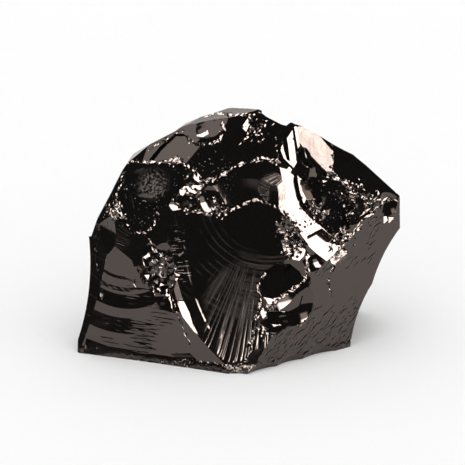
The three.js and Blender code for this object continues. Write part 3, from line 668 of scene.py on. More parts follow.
def place(points, one):
    """Stands a tool on its start point; its +Y faces out and its +Z runs down the slope."""
    out = direction(one["facing"])
    down = np.array([0.0, 0.0, -1.0])
    down = down - out * down.dot(out)
    if np.dot(down, down) < 1e-4:
        down = np.array([0.0, -1.0, 0.0])
    down = down / np.linalg.norm(down)
    right = np.cross(out, down)
    t = math.radians(one["turn"])
    x = math.cos(t) * points[:, 0] + math.sin(t) * points[:, 2]
    z = -math.sin(t) * points[:, 0] + math.cos(t) * points[:, 2]
    placed = x[:, None] * right + points[:, 1:2] * out + z[:, None] * down
    return placed + np.array(one["at"], float)


# ---------------------------------------------------------------- mesh helpers
def solid_object(name, points, faces, spread, finish):
    """A closed mesh of triangles, with the spread of its break and its finish on each corner.

    spread = how far a corner lies from the start of the break, across and along, and the
    number of the break; finish = how combed and how frosted it is, and whether it is a chip,
    with how pale it is painted above 1: pale crushed glass and a painted glint.
    """
    faces = np.asarray(faces, np.int32)
    mesh = bpy.data.meshes.new(name)
    mesh.vertices.add(len(points))
    mesh.loops.add(faces.size)
    mesh.polygons.add(len(faces))
    mesh.vertices.foreach_set("co", np.asarray(points, np.float32).ravel())
    mesh.loops.foreach_set("vertex_index", faces.ravel())
    mesh.polygons.foreach_set("loop_start", np.arange(0, faces.size, 3, dtype=np.int32))
    mesh.update(calc_edges=True)
    for label, values in (("spread", spread), ("finish", finish)):
        layer = mesh.attributes.new(label, "FLOAT_VECTOR", "CORNER")
        layer.data.foreach_set("vector", values[faces.ravel()].astype(np.float32).ravel())
    if volume(mesh) < 0:
        mesh.flip_normals()
    made = bpy.data.objects.new(name, mesh)
    bpy.context.scene.collection.objects.link(made)
    return made


def read(items, label, kind, width):
    """One property of all the items of a mesh, as an array with a row for each item."""
    values = np.zeros(len(items) * width, kind)
    items.foreach_get(label, values)
    return values.reshape(-1, width)


def vectors(items, label):
    """One property of all the items, where it is a vector."""
    return read(items, label, np.float32, 3).astype(float)


def arrays(mesh):
    """Points and triangle corners of a mesh."""
    mesh.calc_loop_triangles()
    return vectors(mesh.vertices, "co"), read(mesh.loop_triangles, "vertices", np.int32, 3)


def volume(mesh):
    """What a closed mesh holds, less than nothing where it is inside out."""
    points, corners = arrays(mesh)
    a, b, c = (points[corners[:, k]] for k in range(3))
    return float(np.einsum("ij,ij->i", a, np.cross(b, c)).sum() / 6)


def cut(stone, tools):
    """Takes the tools away from the stone, one after another."""
    for tool in tools:
        step = stone.modifiers.new("cut", "BOOLEAN")
        step.operation = "DIFFERENCE"
        step.solver = "MANIFOLD"
        step.object = tool
    view = bpy.context.evaluated_depsgraph_get()
    whole = bpy.data.meshes.new_from_object(stone.evaluated_get(view))
    stone.modifiers.clear()
    before = stone.data
    stone.data = whole
    bpy.data.meshes.remove(before)
    for tool in tools:
        mesh = tool.data
        bpy.data.objects.remove(tool)
        bpy.data.meshes.remove(mesh)
    if len(whole.polygons) < LEAST_FACES or volume(whole) <= 0:
        raise RuntimeError("the stone was lost while it was cut")


def box(name, size, centre):
    """A plain block to break the stone out of, or to clear what lies below its foot."""
    signs = [(x, y, z) for x in (-1, 1) for y in (-1, 1) for z in (-1, 1)]
    points = np.array(signs, float) * np.array(size) / 2 + np.array(centre)
    sides = [(0, 1, 3, 2), (4, 6, 7, 5), (0, 4, 5, 1), (2, 3, 7, 6), (0, 2, 6, 4), (1, 5, 7, 3)]
    faces = [f for a, b, c, e in sides for f in ((a, b, c), (a, c, e))]
    spread = np.stack([points[:, 0], points[:, 1], np.zeros(8)], 1)
    finish = np.tile([0.0, 0.3, 0.0], (8, 1))
    return solid_object(name, points, faces, spread, finish)


def drawn(squares):
    """Points of the drawing grid as millimetres across and up from the middle of the view."""
    return [(round((x - GRID_MIDDLE) * SQUARE, 1), round((GRID_MIDDLE - y) * SQUARE, 1))
            for x, y in squares]


def sight_line(across, up):
    """The direction from the eye through a point of the view, in millimetres across and up."""
    point = AIM + np.array([across, up * SIGHT[2], -up * SIGHT[1]])
    way = point - EYE
    return way / np.linalg.norm(way)


def surface(stone):
    """The stone in the form in which sight lines are followed to it."""
    points, corners = arrays(stone.data)
    return BVHTree.FromPolygons(points.tolist(), corners.tolist())


def flake_shape(tree, facing, share, outline):
    """Points and faces of what lies in front of a flat break, and the points on the break.

    The break lies so deep that only a share of the outline, in percent, stays uncut. Without
    a share it goes right through the stone.
    """
    normal = direction(facing)
    ways = np.array([sight_line(*point) for point in outline])
    if share is None:
        depth = AIM @ normal - THROUGH
    else:
        middle = np.mean(outline, 0)
        probes = [middle + (np.array(p) - middle) * k for p in outline for k in PROBES]
        hits = [tree.ray_cast(Vector(EYE), Vector(sight_line(*probe)))[0] for probe in probes]
        depth = np.percentile([hit.dot(Vector(normal)) for hit in hits if hit] or [NOWHERE], share)
    reach = (depth - EYE @ normal) / (ways @ normal)
    outline = EYE + ways * reach[:, None]
    count = len(outline)
    points = np.concatenate([outline, outline - ways * HEADROOM])
    flat = tessellate_polygon([[Vector(p) for p in outline]])
    a = np.arange(count)
    b = np.roll(a, -1)
    faces = [tuple(f) for f in flat] + [tuple(i + count for i in reversed(f)) for f in flat]
    sides = [(a, b, b + count), (a, b + count, a + count)]
    wound = sum(np.cross(outline[i], outline[j]) for i, j in zip(a, b)) @ normal
    tops = np.array(faces)
    first = outline[list(flat[0])]
    if np.cross(first[1] - first[0], first[2] - first[0]) @ normal * wound > 0:
        tops = tops[:, ::-1]
    faces = np.concatenate([tops] + [np.stack(side, 1) for side in sides])
    across = np.cross(normal, (0, 0, 1.0))
    along = np.cross(normal, across)
    local = (points - outline.mean(0)) @ np.stack([across, along], 1)
    return points, faces, local


def flake_tool(tree, number, name, facing, share, finish, outline):
    """Clears what lies in front of a flat break whose outline is drawn on the grid."""
    points, faces, local = flake_shape(tree, facing, share, drawn(outline))
    spread = np.column_stack([local, np.full(len(points), float(number))])
    return solid_object(name, points, faces, spread, np.tile([*finish, 0.0], (len(points), 1)))


def near_catch(chance):
    """A facing that mirrors the softbox, more or less."""
    return CATCH[0] + chance.gauss(0, CATCH_SPREAD), CATCH[1] + chance.gauss(0, CATCH_SPREAD)


def shard(tree, chance, at, way, size, catch):
    """The shape of one shard: a thin kite that lies about along a way on the view."""
    turn = math.atan2(way[1], way[0]) + chance.gauss(0, 0.35)
    along = np.array([math.cos(turn), math.sin(turn)])
    across = np.array([-along[1], along[0]])
    half, side = size * chance.uniform(0.6, 1.5), size * chance.uniform(0.15, 0.5)
    middle = np.array(at)
    outline = [middle - along * half, middle - across * side * chance.uniform(0.4, 1.2),
               middle + along * half * chance.uniform(0.5, 1.2), middle + across * side]
    if chance.random() < catch:
        facing = near_catch(chance)
    else:
        facing = (chance.gauss(0, 35), chance.gauss(24, 12))
    return flake_shape(tree, facing, chance.uniform(25, 65), outline)


def on_view(points):
    """How far points of the stone lie across and up from the middle of the view."""
    across, away, high = np.moveaxis(np.asarray(points), -1, 0)
    return np.stack([across, away * SIGHT[2] - high * SIGHT[1]], -1)


def splinter(stone):
    """Splinters the drawn rims and the crushed places, in a few cuts of many shards each."""
    chance = random.Random(SHARD_SEED)
    tree = surface(stone)
    shards = []
    for _, size, catch, squares in RIMS:
        line = drawn(squares)
        for start, end in zip(line, line[1:]):
            way = np.subtract(end, start)
            for _ in range(round(math.dist(start, end) / RIM_SPACING)):
                at = start + way * chance.random() + [chance.gauss(0, RIM_SPREAD) for _ in range(2)]
                shards.append(shard(tree, chance, at, way, size, catch))
    for at, reach, count, size, catch in CRUSHED:
        middle = on_view(np.array(at) - AIM)
        for _ in range(count):
            spot = middle + [chance.gauss(0, reach * CRUSHED_SPREAD) for _ in range(2)]
            way = [chance.gauss(0, 1), chance.gauss(0, 1)]
            shards.append(shard(tree, chance, spot, way, size * CRUSHED_SHARD, catch))
    facets = [points[:SHARD_POINTS // 2] for points, _, _ in shards]
    middles = np.array([facet.mean(0) for facet in facets])
    reaches = np.array([np.linalg.norm(facet - middle, axis=1).max()
                        for facet, middle in zip(facets, middles)])
    tools = []
    for group in apart(on_view(middles), reaches):
        mine = [shards[i] for i in group]
        points = np.concatenate([points for points, _, _ in mine])
        faces = np.concatenate([faces + SHARD_POINTS * k for k, (_, faces, _) in enumerate(mine)])
        numbers = [np.full(SHARD_POINTS, SHARD_NUMBER + i % SHARD_NUMBERS) for i in group]
        spread = np.column_stack([np.concatenate([local for _, _, local in mine]),
                                  np.concatenate(numbers)])
        finish = np.tile([0.0, SHARD_FROST, 0.0], (len(points), 1))
        tools.append(solid_object("shards", points, faces, spread, finish))
    cut(stone, tools)


def apart(middles, reaches):
    """Sorts shapes into groups, in each of which none touches another."""
    group = np.full(len(middles), -1)
    for i in range(len(middles)):
        gap = np.linalg.norm(middles[:i] - middles[i], axis=1) - reaches[:i] - reaches[i]
        taken = set(group[:i][gap < GAP].tolist())
        group[i] = next(g for g in range(len(middles)) if g not in taken)
    return [np.flatnonzero(group == number) for number in range(group.max() + 1)]


# ---------------------------------------------------------------- breaking the stone
def break_stone(settings):
    """The lump after its large breaks and its flakes, in millimetres."""
    stone = box("shungite_lump", BLOCK, BLOCK_CENTRE)
    batch = []
    for number, one in enumerate(sorted(SCARS, key=lambda one: not is_large(one))):
        points, faces, flow = scar_tool(one, settings.ripple_scale)
        spread = np.column_stack([flow, np.full(len(flow), float(number))])
        finish = np.tile([one["hackle"], 0.0, 0.0], (len(flow), 1))
        batch.append(solid_object("scar", points, faces, spread, finish))
        if len(batch) == BATCH:
            cut(stone, batch)
            batch = []
    cut(stone, batch)
    tree = surface(stone)
    flakes = FLAKES + [(name, (0, SIGHT_CLIMB), None, (0.0, 0.0), outline)
                       for name, outline in TRIMS]
    batch = [flake_tool(tree, len(SCARS) + k, *flake) for k, flake in enumerate(flakes)]
    width, depth, height = BLOCK
    batch.append(box("below", (2 * width, 2 * depth, height), (0, 0, -height / 2)))
    cut(stone, batch)
    return stone


def ridges(mesh, angle):
    """Ends, outward direction and bend of each outer edge that bends by more than an angle."""
    normals, centres = vectors(mesh.polygons, "normal"), vectors(mesh.polygons, "center")
    totals = read(mesh.polygons, "loop_total", np.int32, 1)[:, 0]
    edge = read(mesh.loops, "edge_index", np.int32, 1)[:, 0]
    ends = vectors(mesh.vertices, "co")[read(mesh.edges, "vertices", np.int32, 2)]
    face = np.repeat(np.arange(len(totals)), totals)
    face = face[np.argsort(edge, kind="stable")].reshape(-1, 2)
    first, second = normals[face[:, 0]], normals[face[:, 1]]
    bend = np.arccos(np.clip(np.einsum("ij,ij->i", first, second), -1, 1))
    across = centres[face[:, 1]] - centres[face[:, 0]]
    convex = np.einsum("ij,ij->i", first, across) < 0
    outward = first + second
    outward /= np.maximum(np.linalg.norm(outward, axis=1), 1e-6)[:, None]
    keep = convex & (bend > angle)
    return ends[keep], outward[keep], bend[keep]


def sharpen(mesh, angle):
    """Makes the steep edges sharp, and every edge where two breaks meet, however flat."""
    mesh.set_sharp_from_angle(angle=angle)
    edge = read(mesh.loops, "edge_index", np.int32, 1)[:, 0]
    number = read(mesh.attributes["spread"].data, "vector", np.float32, 3)[:, 2]
    lowest, highest = np.full(len(mesh.edges), np.inf), np.full(len(mesh.edges), -np.inf)
    np.minimum.at(lowest, edge, number)
    np.maximum.at(highest, edge, number)
    sharp = read(mesh.edges, "use_edge_sharp", bool, 1)[:, 0]
    mesh.edges.foreach_set("use_edge_sharp", sharp | (highest - lowest > 0.01))


# A chip has the twelve points and twenty faces of an icosahedron.
ICO = (1 + math.sqrt(5)) / 2
CHIP_POINTS = np.array(
    [(-1, ICO, 0), (1, ICO, 0), (-1, -ICO, 0), (1, -ICO, 0), (0, -1, ICO), (0, 1, ICO),
     (0, -1, -ICO), (0, 1, -ICO), (ICO, 0, -1), (ICO, 0, 1), (-ICO, 0, -1), (-ICO, 0, 1)],
    float) / math.sqrt(1 + ICO * ICO)
CHIP_FACES = np.array([
    (0, 11, 5), (0, 5, 1), (0, 1, 7), (0, 7, 10), (0, 10, 11), (1, 5, 9), (5, 11, 4),
    (11, 10, 2), (10, 7, 6), (7, 1, 8), (3, 9, 4), (3, 4, 2), (3, 2, 6), (3, 6, 8), (3, 8, 9),
    (4, 9, 5), (2, 4, 11), (6, 2, 10), (8, 6, 7), (9, 8, 1)])
CHIP_SEED = 7
RIDGE_BEND = math.radians(22)     # an edge that bends by more is a ridge
FULL_BEND = 0.9               # from this bend on, in radians, a ridge is chipped most
RIDGE_CHIP = 0.45             # size of its chips
RIDGE_CATCH = 0.25            # how often a chip on a ridge catches the light
BACK_START = 14               # behind this the ridges get half as many chips
SEAT_EDGE = 0.3               # below this height there are none


def turned(chance, catch):
    """A random rotation; with catch, one face of a chip leaves a facet turned to the softbox."""
    spin = Quaternion([chance.gauss(0, 1) for _ in range(4)]).normalized()
    if catch:
        facing = near_catch(chance)
        face = CHIP_POINTS[CHIP_FACES[chance.randrange(len(CHIP_FACES))]].mean(0)
        now = spin @ Vector(face)
        spin = now.rotation_difference(-Vector(direction(facing))) @ spin
    return np.array(spin.to_matrix())


def picked(running, chance):
    """The place of a random draw among running totals."""
    return min(int(np.searchsorted(running, chance.random() * running[-1])), len(running) - 1)


def crushed_points(mesh, chance):
    """Points on the faces of the crushed places, with the way out, chip size and catch."""
    points, corners = arrays(mesh)
    a, b, c = (points[corners[:, k]] for k in range(3))
    across = np.cross(b - a, c - a)
    area = np.linalg.norm(across, axis=1)
    middle = (a + b + c) / 3
    found = []
    for at, reach, count, size, catch in CRUSHED:
        weight = np.where(np.linalg.norm(middle - np.array(at), axis=1) < reach, area, 0.0)
        running = np.cumsum(weight)
        for _ in range(count // CRUSHED_CHIPS):
            k = picked(running, chance)
            u, v = chance.random(), chance.random()
            if u + v > 1:
                u, v = 1 - u, 1 - v
            spot = a[k] + u * (b[k] - a[k]) + v * (c[k] - a[k])
            found.append((spot, across[k] / max(area[k], 1e-9), size, catch))
    return found


def ridge_points(mesh, chance, count):
    """Points along the ridges, with the way out, chip size and catch."""
    ends, outward, bend = ridges(mesh, RIDGE_BEND)
    middle = ends.mean(1)
    weight = np.linalg.norm(ends[:, 1] - ends[:, 0], axis=1) * np.minimum(1.0, bend / FULL_BEND)
    scale = np.full(len(middle), RIDGE_CHIP)
    weight[middle[:, 2] < SEAT_EDGE] = 0.0
    weight[middle[:, 1] > BACK_START] *= 0.5
    for at, reach, _, size, _ in CRUSHED:
        close = np.linalg.norm(middle - np.array(at), axis=1) < reach
        weight[close] *= 2.0
        scale[close] = size
    running = np.cumsum(weight)
    found = []
    for _ in range(count):
        k = picked(running, chance)
        along = chance.random()
        spot = ends[k, 0] * (1 - along) + ends[k, 1] * along
        found.append((spot, outward[k], scale[k], RIDGE_CATCH))
    return found


def chip_the_ridges(stone, settings):
    """Knocks small chips off the ridges and all over the crushed places."""
    chance = random.Random(CHIP_SEED)
    places = ridge_points(stone.data, chance, settings.chip_count)
    places += crushed_points(stone.data, chance)
    chips = []
    for spot, outward, size, catch in places:
        radius = settings.chip_size * 1000 * size * chance.uniform(0.45, 1.5)
        bite = radius * chance.uniform(0.25, 0.65)
        # A chip that may catch the light is sometimes painted pale: pale crushed glass and a painted
        # glint.
        pale = chance.uniform(0.3, 1.0) if chance.random() < catch * 0.5 else 0.0
        stretch = [chance.uniform(0.7, 1.5), chance.uniform(0.6, 1.0), 1.0]
        turn = turned(chance, chance.random() < catch)
        shape = (CHIP_POINTS * np.array(stretch) * radius) @ turn.T
        chips.append((shape + spot + outward * (radius - bite), pale, chance.uniform(0, 9)))
    middles = np.array([shape.mean(0) for shape, _, _ in chips])
    reaches = np.array([np.linalg.norm(s - s.mean(0), axis=1).max() for s, _, _ in chips])
    count = len(CHIP_POINTS)
    tools = []
    for group in apart(middles, reaches):
        mine = [chips[i] for i in group]
        points = np.concatenate([shape for shape, _, _ in mine])
        faces = np.concatenate([CHIP_FACES + count * i for i in range(len(mine))])
        finish = np.array([(0.0, 0.0, 1.0 + pale) for _, pale, _ in mine]).repeat(count, 0)
        spread = np.array([(seed, 9 - seed, 0.5) for _, _, seed in mine]).repeat(count, 0)
        tools.append(solid_object("chips", points, faces, spread, finish))
    cut(stone, tools)


# ---------------------------------------------------------------- node sheets
class Wire:
    """The output of a node, so that shader maths can be written as Python expressions."""

    def __init__(self, sheet, socket):
        self.sheet, self.socket = sheet, socket

    def maths(self, operation, *others):
        return self.sheet.node("ShaderNodeMath", {"operation": operation},
                               dict(enumerate((self,) + others)))

    def __add__(self, other):
        return self.maths("ADD", other)

    __radd__ = __add__

    def __sub__(self, other):
        return self.maths("SUBTRACT", other)

    def __rsub__(self, other):
        return (self * -1) + other

    def __mul__(self, other):
        return self.maths("MULTIPLY", other)

    __rmul__ = __mul__

    def __truediv__(self, other):
        return self.maths("DIVIDE", other)

    def __rtruediv__(self, other):
        return self.maths("POWER", -1) * other

    def __pow__(self, other):
        return self.maths("POWER", other)

    def __abs__(self):
        return self.maths("ABSOLUTE")

    def smooth(self, low, high):
        """0 below low, 1 above high, and an easy curve between."""
        return self.sheet.node("ShaderNodeMapRange", {"interpolation_type": "SMOOTHSTEP"},
                               {"Value": self, "From Min": low, "From Max": high})

    def ramp(self, low, high):
        """0 below low, 1 above high, and a straight line between."""
        return self.sheet.node("ShaderNodeMapRange", {"interpolation_type": "LINEAR"},
                               {"Value": self, "From Min": low, "From Max": high})

    def same(self, number):
        """1 where the value is this whole number."""
        return self.maths("COMPARE", number, 0.4)

    def sine(self):
        return self.maths("SINE")

    def least(self, other):
        return self.maths("MINIMUM", other)

    def most(self, other):
        return self.maths("MAXIMUM", other)


class Sheet:
    """The node tree of one material or of the world."""

    def __init__(self, tree):
        self.tree = tree
        tree.nodes.clear()

    def node(self, kind, settings=None, sockets=None, output=0):
        """Adds a node, sets it up, feeds its sockets and gives one of its outputs."""
        made = self.tree.nodes.new(kind)
        for key, value in (settings or {}).items():
            setattr(made, key, value)
        for key, value in (sockets or {}).items():
            socket = made.inputs[key]
            if isinstance(value, Wire):
                self.tree.links.new(value.socket, socket)
            elif value is not None:
                socket.default_value = value
        if not made.outputs:
            return made
        return Wire(self, made.outputs[output])

    def other(self, wire, output):
        """Another output of the node that a wire comes from."""
        return Wire(self, wire.socket.node.outputs[output])

    def vector(self, operation, *inputs, output=0):
        return self.node("ShaderNodeVectorMath", {"operation": operation},
                         dict(enumerate(inputs)), output)

    def distance(self, place, middle):
        return self.vector("DISTANCE", place, middle, output="Value")

    def split(self, wire):
        x = self.node("ShaderNodeSeparateXYZ", None, {0: wire})
        return x, self.other(x, 1), self.other(x, 2)

    def join(self, x, y, z):
        return self.node("ShaderNodeCombineXYZ", None, {0: x, 1: y, 2: z})

    def blend(self, factor, a, b):
        """Mixes two colours."""
        return self.node("ShaderNodeMix", {"data_type": "RGBA"}, {0: factor, 6: a, 7: b}, 2)

    def noise(self, place, scale, detail=1.0, roughness=0.5):
        return self.node("ShaderNodeTexNoise", None,
                         {"Vector": place, "Scale": scale, "Detail": detail,
                          "Roughness": roughness})


# ---------------------------------------------------------------- finish of the carbon
def near(sheet, place, middle, reach, soft=0.6):
    """1 inside a ball about a middle, 0 outside it."""
    return sheet.distance(place, middle).smooth(reach * (1 + soft / 2), reach * (1 - soft / 2))


def total(parts):
    """The sum of some wires."""
    whole = parts[0]
    for part in parts[1:]:
        whole = whole + part
    return whole


def steps(distance, rows):
    """Low terraces: the surface rises by a row's height across its width."""
    return total([distance.ramp(at - half_width, at + half_width) * rise
                  for at, half_width, rise in rows])


def streaks(sheet, place, scales):
    """Noise that is drawn out in the directions in which its scale is low."""
    return sheet.noise(sheet.vector("MULTIPLY", place, scales), 1.0)


def combed_lines(sheet, flow, distance, number):
    """Lines that run outward from the start of a break and come and go along their length."""
    ray = sheet.vector("NORMALIZE", flow)
    way = sheet.vector("ADD", sheet.vector("MULTIPLY", ray, (26.0, 26.0, 0.0)),
                       sheet.join(number * 7.3, number * 3.1, distance * 0.035))
    return (1 - abs(sheet.noise(way, 1.0) - 0.5) * 9).most(0.0)


def left_waves(sheet, place, x):
    """Waves that die out in feathers toward the right."""
    feather = streaks(sheet, place, (0.25, 0.25, 1.9))
    reach = sheet.distance(place, WAVE_MIDDLE) + feather * 0.12
    waves = []
    for at, half_width, rise, fade, soft in WAVES:
        fading = (x + feather * 6 - 3).smooth(fade + soft, fade - soft)
        steep = reach.ramp(at - half_width, at + half_width)
        tail = reach.ramp(at + 3 * half_width + WAVE_TAIL, at + half_width)
        waves.append(steep * tail * fading * rise)
    return total(waves)


def bowl_rim(sheet, place, z):
    """The raised rim down the left of the bowl, with short notches across it."""
    way = sheet.distance(place, RIM_MIDDLE)
    notch = streaks(sheet, place, (0.35, 0.35, 4.6)).smooth(0.58, 0.66)
    notch = notch * near(sheet, place, *NOTCHED) * way.smooth(32.6, 33.6)
    return steps(way, RIM) * z.smooth(5.0, 7.0) + notch * NOTCH_HEIGHT


def curved_strokes(sheet, place, x, y, z):
    """Short curved strokes, in patches and toward the foot."""
    stroke = sheet.noise(sheet.join((x + z) * 0.22, (z - x) * 0.6, y * 0.3), 1.0, 2.0)
    patch = (sheet.noise(place, 0.16).smooth(0.48, 0.62) + z.smooth(12.0, 2.0)).least(1.0)
    return (1 - abs(stroke - 0.5) * 14).most(0.0) * patch


def faint_arcs(sheet, place, distance):
    """Fine arcs between the ripples, which come and go."""
    wander = sheet.noise(place, 0.3, 2.0) * 5
    return (distance * 9.0 + wander).sine() * sheet.noise(place, 0.21).smooth(0.45, 0.7)


def painted_arcs(sheet, place, start, drift):
    """Grey arcs painted between the terraces of the great bowl, a painted reflection of their ripples.
    """
    arcs = ((start + drift * 0.3) * 6.0).sine().smooth(0.6, 1.0)
    inside = start.smooth(7.0, 10.0) * start.smooth(24.0, 18.0)
    return arcs * inside * sheet.noise(place, 0.22, 2.0).smooth(0.42, 0.62)


def carbon_glass(settings):
    """Glassy near-black carbon with combed and frosted breaks, a little dust, painted glints and
    painted reflection lines.
    """
    material = bpy.data.materials.new("shungite_glass")
    material.use_nodes = True
    sheet = Sheet(material.node_tree)
    metres = sheet.node("ShaderNodeTexCoord", None, None, "Object")
    scaled = sheet.vector("MULTIPLY", metres, (1000.0, 1000.0, 1000.0))
    place = sheet.vector("SUBTRACT", scaled, SEAT)
    x, y, z = sheet.split(place)
    spread = sheet.node("ShaderNodeAttribute", {"attribute_name": "spread"}, None, "Vector")
    finish = sheet.node("ShaderNodeAttribute", {"attribute_name": "finish"}, None, "Vector")
    across, along, number = sheet.split(spread)
    hackle, frost, chipped = sheet.split(finish)
    flow = sheet.join(across, along, 0.0)
    distance = sheet.vector("LENGTH", flow, output="Value")
    bowl, side = number.same(BOWL_NUMBER), number.same(SIDE_NUMBER)
    right, left = number.same(RIGHT_NUMBER), number.same(LEFT_NUMBER)

    lines = combed_lines(sheet, flow, distance, number)
    patches = total([near(sheet, place, middle, reach) * depth for middle, reach, depth in COMBED])
    comb = lines ** 2 * patches * (hackle + 0.25) * distance.smooth(2.0, 6.0)
    start = sheet.distance(place, BOWL_START)
    drift = sheet.noise(place, 0.2) * 1.2 - 0.6
    terraces = (steps(start + drift, RINGS) + bowl_rim(sheet, place, z)) * bowl
    scales = ((z + drift) * (1 / SCALE_HEIGHT)).maths("FRACT") * side
    strokes = curved_strokes(sheet, place, x, y, z) * right
    foot = z.smooth(1.5, 0.5) * sheet.noise(place, 1.3, 3.0, 0.6)

    # The slight unevenness of every break, and the grain of the frosted ones.
    uneven = sheet.noise(place, 0.35, 2.0, 0.45)
    grain = sheet.noise(place, 12.0, 3.0, 0.6)
    frosted = total([near(sheet, place, middle, reach, 1.0) for middle, reach in FROSTED])
    frosted = frosted * sheet.noise(place, 2.6, 3.0, 0.6).smooth(0.42, 0.62)
    frost = (frost + frosted).least(1.0)
    height = comb * COMB_HEIGHT + terraces + foot * FOOT_HEIGHT - scales * SCALE_RISE \
        + strokes * STROKE_HEIGHT + left_waves(sheet, place, x) * left \
        + faint_arcs(sheet, place, distance) * ARC_HEIGHT + uneven * UNEVEN_HEIGHT \
        + grain * (frost * FROST_HEIGHT + GRAIN_HEIGHT)
    bump = sheet.node("ShaderNodeBump", None,
                      {"Strength": 1.0, "Distance": 0.001, "Height": height})

    # Crushed glass is pale, partly a painted glint, and pale specks are painted glints. Dust lies in
    # the grainy places. Grey arcs and combed lines are painted on the great bowl as painted
    # reflections. A faint bloom dulls the glass.
    # Pale crushed glass on the chips that catch the light, partly a painted glint.
    bruised_and_glinting = (chipped - 1).most(0.0)
    # Pale specks painted as glints in the speckled places.
    glint_speck_places = total([near(sheet, place, middle, reach, 0.5) for middle, reach in GLINT_SPECK_PLACES])
    painted_glint_flecks = sheet.noise(place, 3.4).smooth(0.70, 0.76) * glint_speck_places * 0.7
    cloud = sheet.noise(place, 0.09, 3.0, 0.55).smooth(0.5, 0.75)
    tone = sheet.noise(place, 2.2, 4.0, 0.7)
    # Grey arcs and combed lines painted on the great bowl: painted reflections of its ripples and
    # hackle.
    painted_arc_lines = painted_arcs(sheet, place, start, drift) * bowl
    painted_comb_lines = lines * patches * bowl
    dust_and_painted_lines = (frost * tone * FROST_DUST + cloud * tone * CLOUD_DUST + painted_arc_lines * PAINTED_ARC_LEVEL
             + painted_comb_lines * PAINTED_COMB_LEVEL).least(1.0)
    colour = sheet.blend(dust_and_painted_lines, (*settings.carbon, 1.0), (*settings.dust, 1.0))
    # Pale crushed glass and painted glints, in the bruise colour.
    pale = (bruised_and_glinting ** 2 * tone.smooth(0.3, 0.7) + painted_glint_flecks).least(1.0)
    colour = sheet.blend(pale, colour, (*settings.bruise_and_glint, 1.0))
    matt = frost * FROST_MATT + cloud * CLOUD_MATT + bruised_and_glinting * BRUISE_MATT + settings.polish
    shader = sheet.node("ShaderNodeBsdfPrincipled", None,
                        {"Base Color": colour, "Roughness": matt, "IOR": 1.8,
                         "Specular Tint": (*settings.gleam, 1.0), "Normal": bump})
    sheet.node("ShaderNodeOutputMaterial", None, {"Surface": shader})
    return material


# ---------------------------------------------------------------- stage
def pale_table(settings):
    """A smooth pale table top that runs out of sight."""
    half = settings.table_width / 2
    mesh = bpy.data.meshes.new("table_top")
    mesh.from_pydata([(-half, -half, 0), (half, -half, 0), (half, half, 0), (-half, half, 0)],
                     [], [(0, 1, 2, 3)])
    table = bpy.data.objects.new("table_top", mesh)
    bpy.context.scene.collection.objects.link(table)
    material = bpy.data.materials.new("pale_table")
    material.use_nodes = True
    sheet = Sheet(material.node_tree)
    place = sheet.node("ShaderNodeTexCoord", None, None, "Object")
    tone = sheet.noise(place, 30.0, 3.0)
    paler = tuple(min(1.0, c * 1.02) for c in settings.table_colour)
    colour = sheet.blend(tone, (*settings.table_colour, 1.0), (*paler, 1.0))
    shader = sheet.node("ShaderNodeBsdfPrincipled", None,
                        {"Base Color": colour, "Roughness": 0.9, "Specular IOR Level": 0.1})
    sheet.node("ShaderNodeOutputMaterial", None, {"Surface": shader})
    mesh.materials.append(material)
    return table


def card(sheet, look, facing, half_width, half_height, brightness, edge):
    """What one softbox or white card adds, seen in a direction; sizes are in degrees."""
    out = direction(facing)
    side = np.cross(out, (0, 0, 1.0))
    side = side / np.linalg.norm(side)
    ahead, x, y = (sheet.vector("DOT_PRODUCT", look, tuple(way), output="Value")
                   for way in (out, side, np.cross(side, out)))
    blur = math.tan(math.radians(edge))
    inside = ahead.smooth(0.0, 0.02)
    for reach, half in ((x, half_width), (y, half_height)):
        slope = math.tan(math.radians(half))
        inside = abs(reach / ahead.most(0.001)).smooth(slope + blur, slope - blur) * inside
    return inside * brightness


def studio_light(settings):
    """Even pale light on the table, and a dark room with cards for the glass to mirror."""
    scene = bpy.context.scene
    world = bpy.data.worlds.new("studio")
    scene.world = world
    world.use_nodes = True
    sheet = Sheet(world.node_tree)
    look = sheet.node("ShaderNodeTexCoord", None, None, "Generated")
    seen = card(sheet, look, *SOFTBOX, settings.key_strength, SOFTBOX_EDGE)
    seen = total([seen] + [card(sheet, look, *one, CARD_EDGE) for one in CARDS]) + settings.room
    paths = sheet.node("ShaderNodeLightPath", None, None, "Is Glossy Ray")
    mirrored = sheet.node("ShaderNodeBackground", None,
                          {"Color": LAMP_COLOUR, "Strength": seen})
    plain = sheet.node("ShaderNodeBackground", None,
                       {"Color": (1.0, 1.0, 1.0, 1.0), "Strength": PLAIN_LIGHT})
    both = sheet.node("ShaderNodeMixShader", None, {0: paths, 1: plain, 2: mirrored})
    sheet.node("ShaderNodeOutputWorld", None, {"Surface": both})
    scene.view_settings.view_transform = "Standard"


def camera(settings):
    """A long lens that looks slightly down on the showing side."""
    lens = bpy.data.cameras.new("camera")
    lens.sensor_width = SENSOR_WIDTH
    lens.lens = SENSOR_WIDTH * settings.camera_distance / settings.view_width
    lens.clip_start, lens.clip_end = 0.01, 100.0
    lens.dof.use_dof = False
    seat = bpy.data.objects.new("camera", lens)
    bpy.context.scene.collection.objects.link(seat)
    climb = settings.camera_climb
    middle = Vector(AIM + np.array(SEAT)) / 1000
    back = Vector((0, -math.cos(climb), math.sin(climb)))
    seat.location = middle + back * settings.camera_distance
    seat.rotation_euler = (-back).to_track_quat("-Z", "Y").to_euler()
    bpy.context.scene.camera = seat


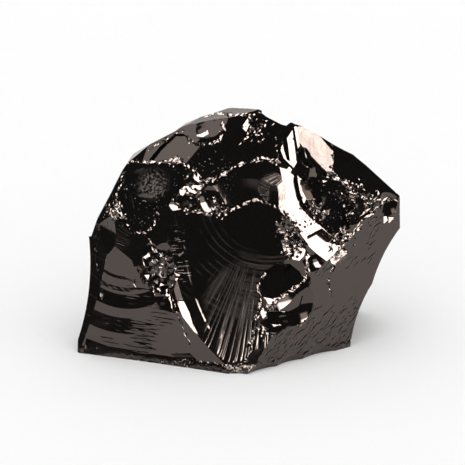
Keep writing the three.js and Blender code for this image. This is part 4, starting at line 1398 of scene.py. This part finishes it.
# ---------------------------------------------------------------- operators and panel
class SHUNGITE_OT_lump(bpy.types.Operator):
    """Break the lump of shungite out of its block and give it its glassy finish"""

    bl_idname = "shungite.lump"
    bl_label = "Break the lump"

    def execute(self, context):
        settings = context.scene.shungite_stone
        stone = break_stone(settings)
        splinter(stone)
        chip_the_ridges(stone, settings)
        mesh = stone.data
        points = (vectors(mesh.vertices, "co") + np.array(SEAT)) / 1000
        mesh.vertices.foreach_set("co", points.astype(np.float32).ravel())
        mesh.shade_smooth()
        sharpen(mesh, settings.ridge_angle)
        mesh.materials.clear()
        mesh.materials.append(carbon_glass(settings))
        mesh.update()
        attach(stone, "root")
        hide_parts("shungite")
        return {"FINISHED"}


class SHUNGITE_OT_stage(bpy.types.Operator):
    """Set the pale table, the studio light and the camera"""

    bl_idname = "shungite.stage"
    bl_label = "Set the stage"

    def execute(self, context):
        settings = context.scene.shungite_stage
        pale_table(settings)
        studio_light(settings)
        camera(settings)
        return {"FINISHED"}


class SHUNGITE_PT_panel(bpy.types.Panel):
    """Sizes, colours and steps of the specimen"""

    bl_idname = "SHUNGITE_PT_panel"
    bl_label = "Shungite specimen"
    bl_space_type = "VIEW_3D"
    bl_region_type = "UI"
    bl_category = "Shungite"

    def draw(self, context):
        layout = self.layout
        for settings, operator in ((context.scene.shungite_stone, SHUNGITE_OT_lump),
                                   (context.scene.shungite_stage, SHUNGITE_OT_stage)):
            part = layout.box()
            for name in settings.__class__.__annotations__:
                part.prop(settings, name)
            part.operator(operator.bl_idname)


CLASSES = (ShungiteStone, ShungiteStage, SHUNGITE_OT_lump, SHUNGITE_OT_stage, SHUNGITE_PT_panel)


def register():
    for one in CLASSES:
        bpy.utils.register_class(one)
    bpy.types.Scene.shungite_stone = PointerProperty(type=ShungiteStone)
    bpy.types.Scene.shungite_stage = PointerProperty(type=ShungiteStage)


def unregister():
    del bpy.types.Scene.shungite_stage
    del bpy.types.Scene.shungite_stone
    for one in reversed(CLASSES):
        bpy.utils.unregister_class(one)


def main():
    register()
    bpy.ops.shungite.lump()
    bpy.ops.shungite.stage()


if __name__ == "__main__":
    main()
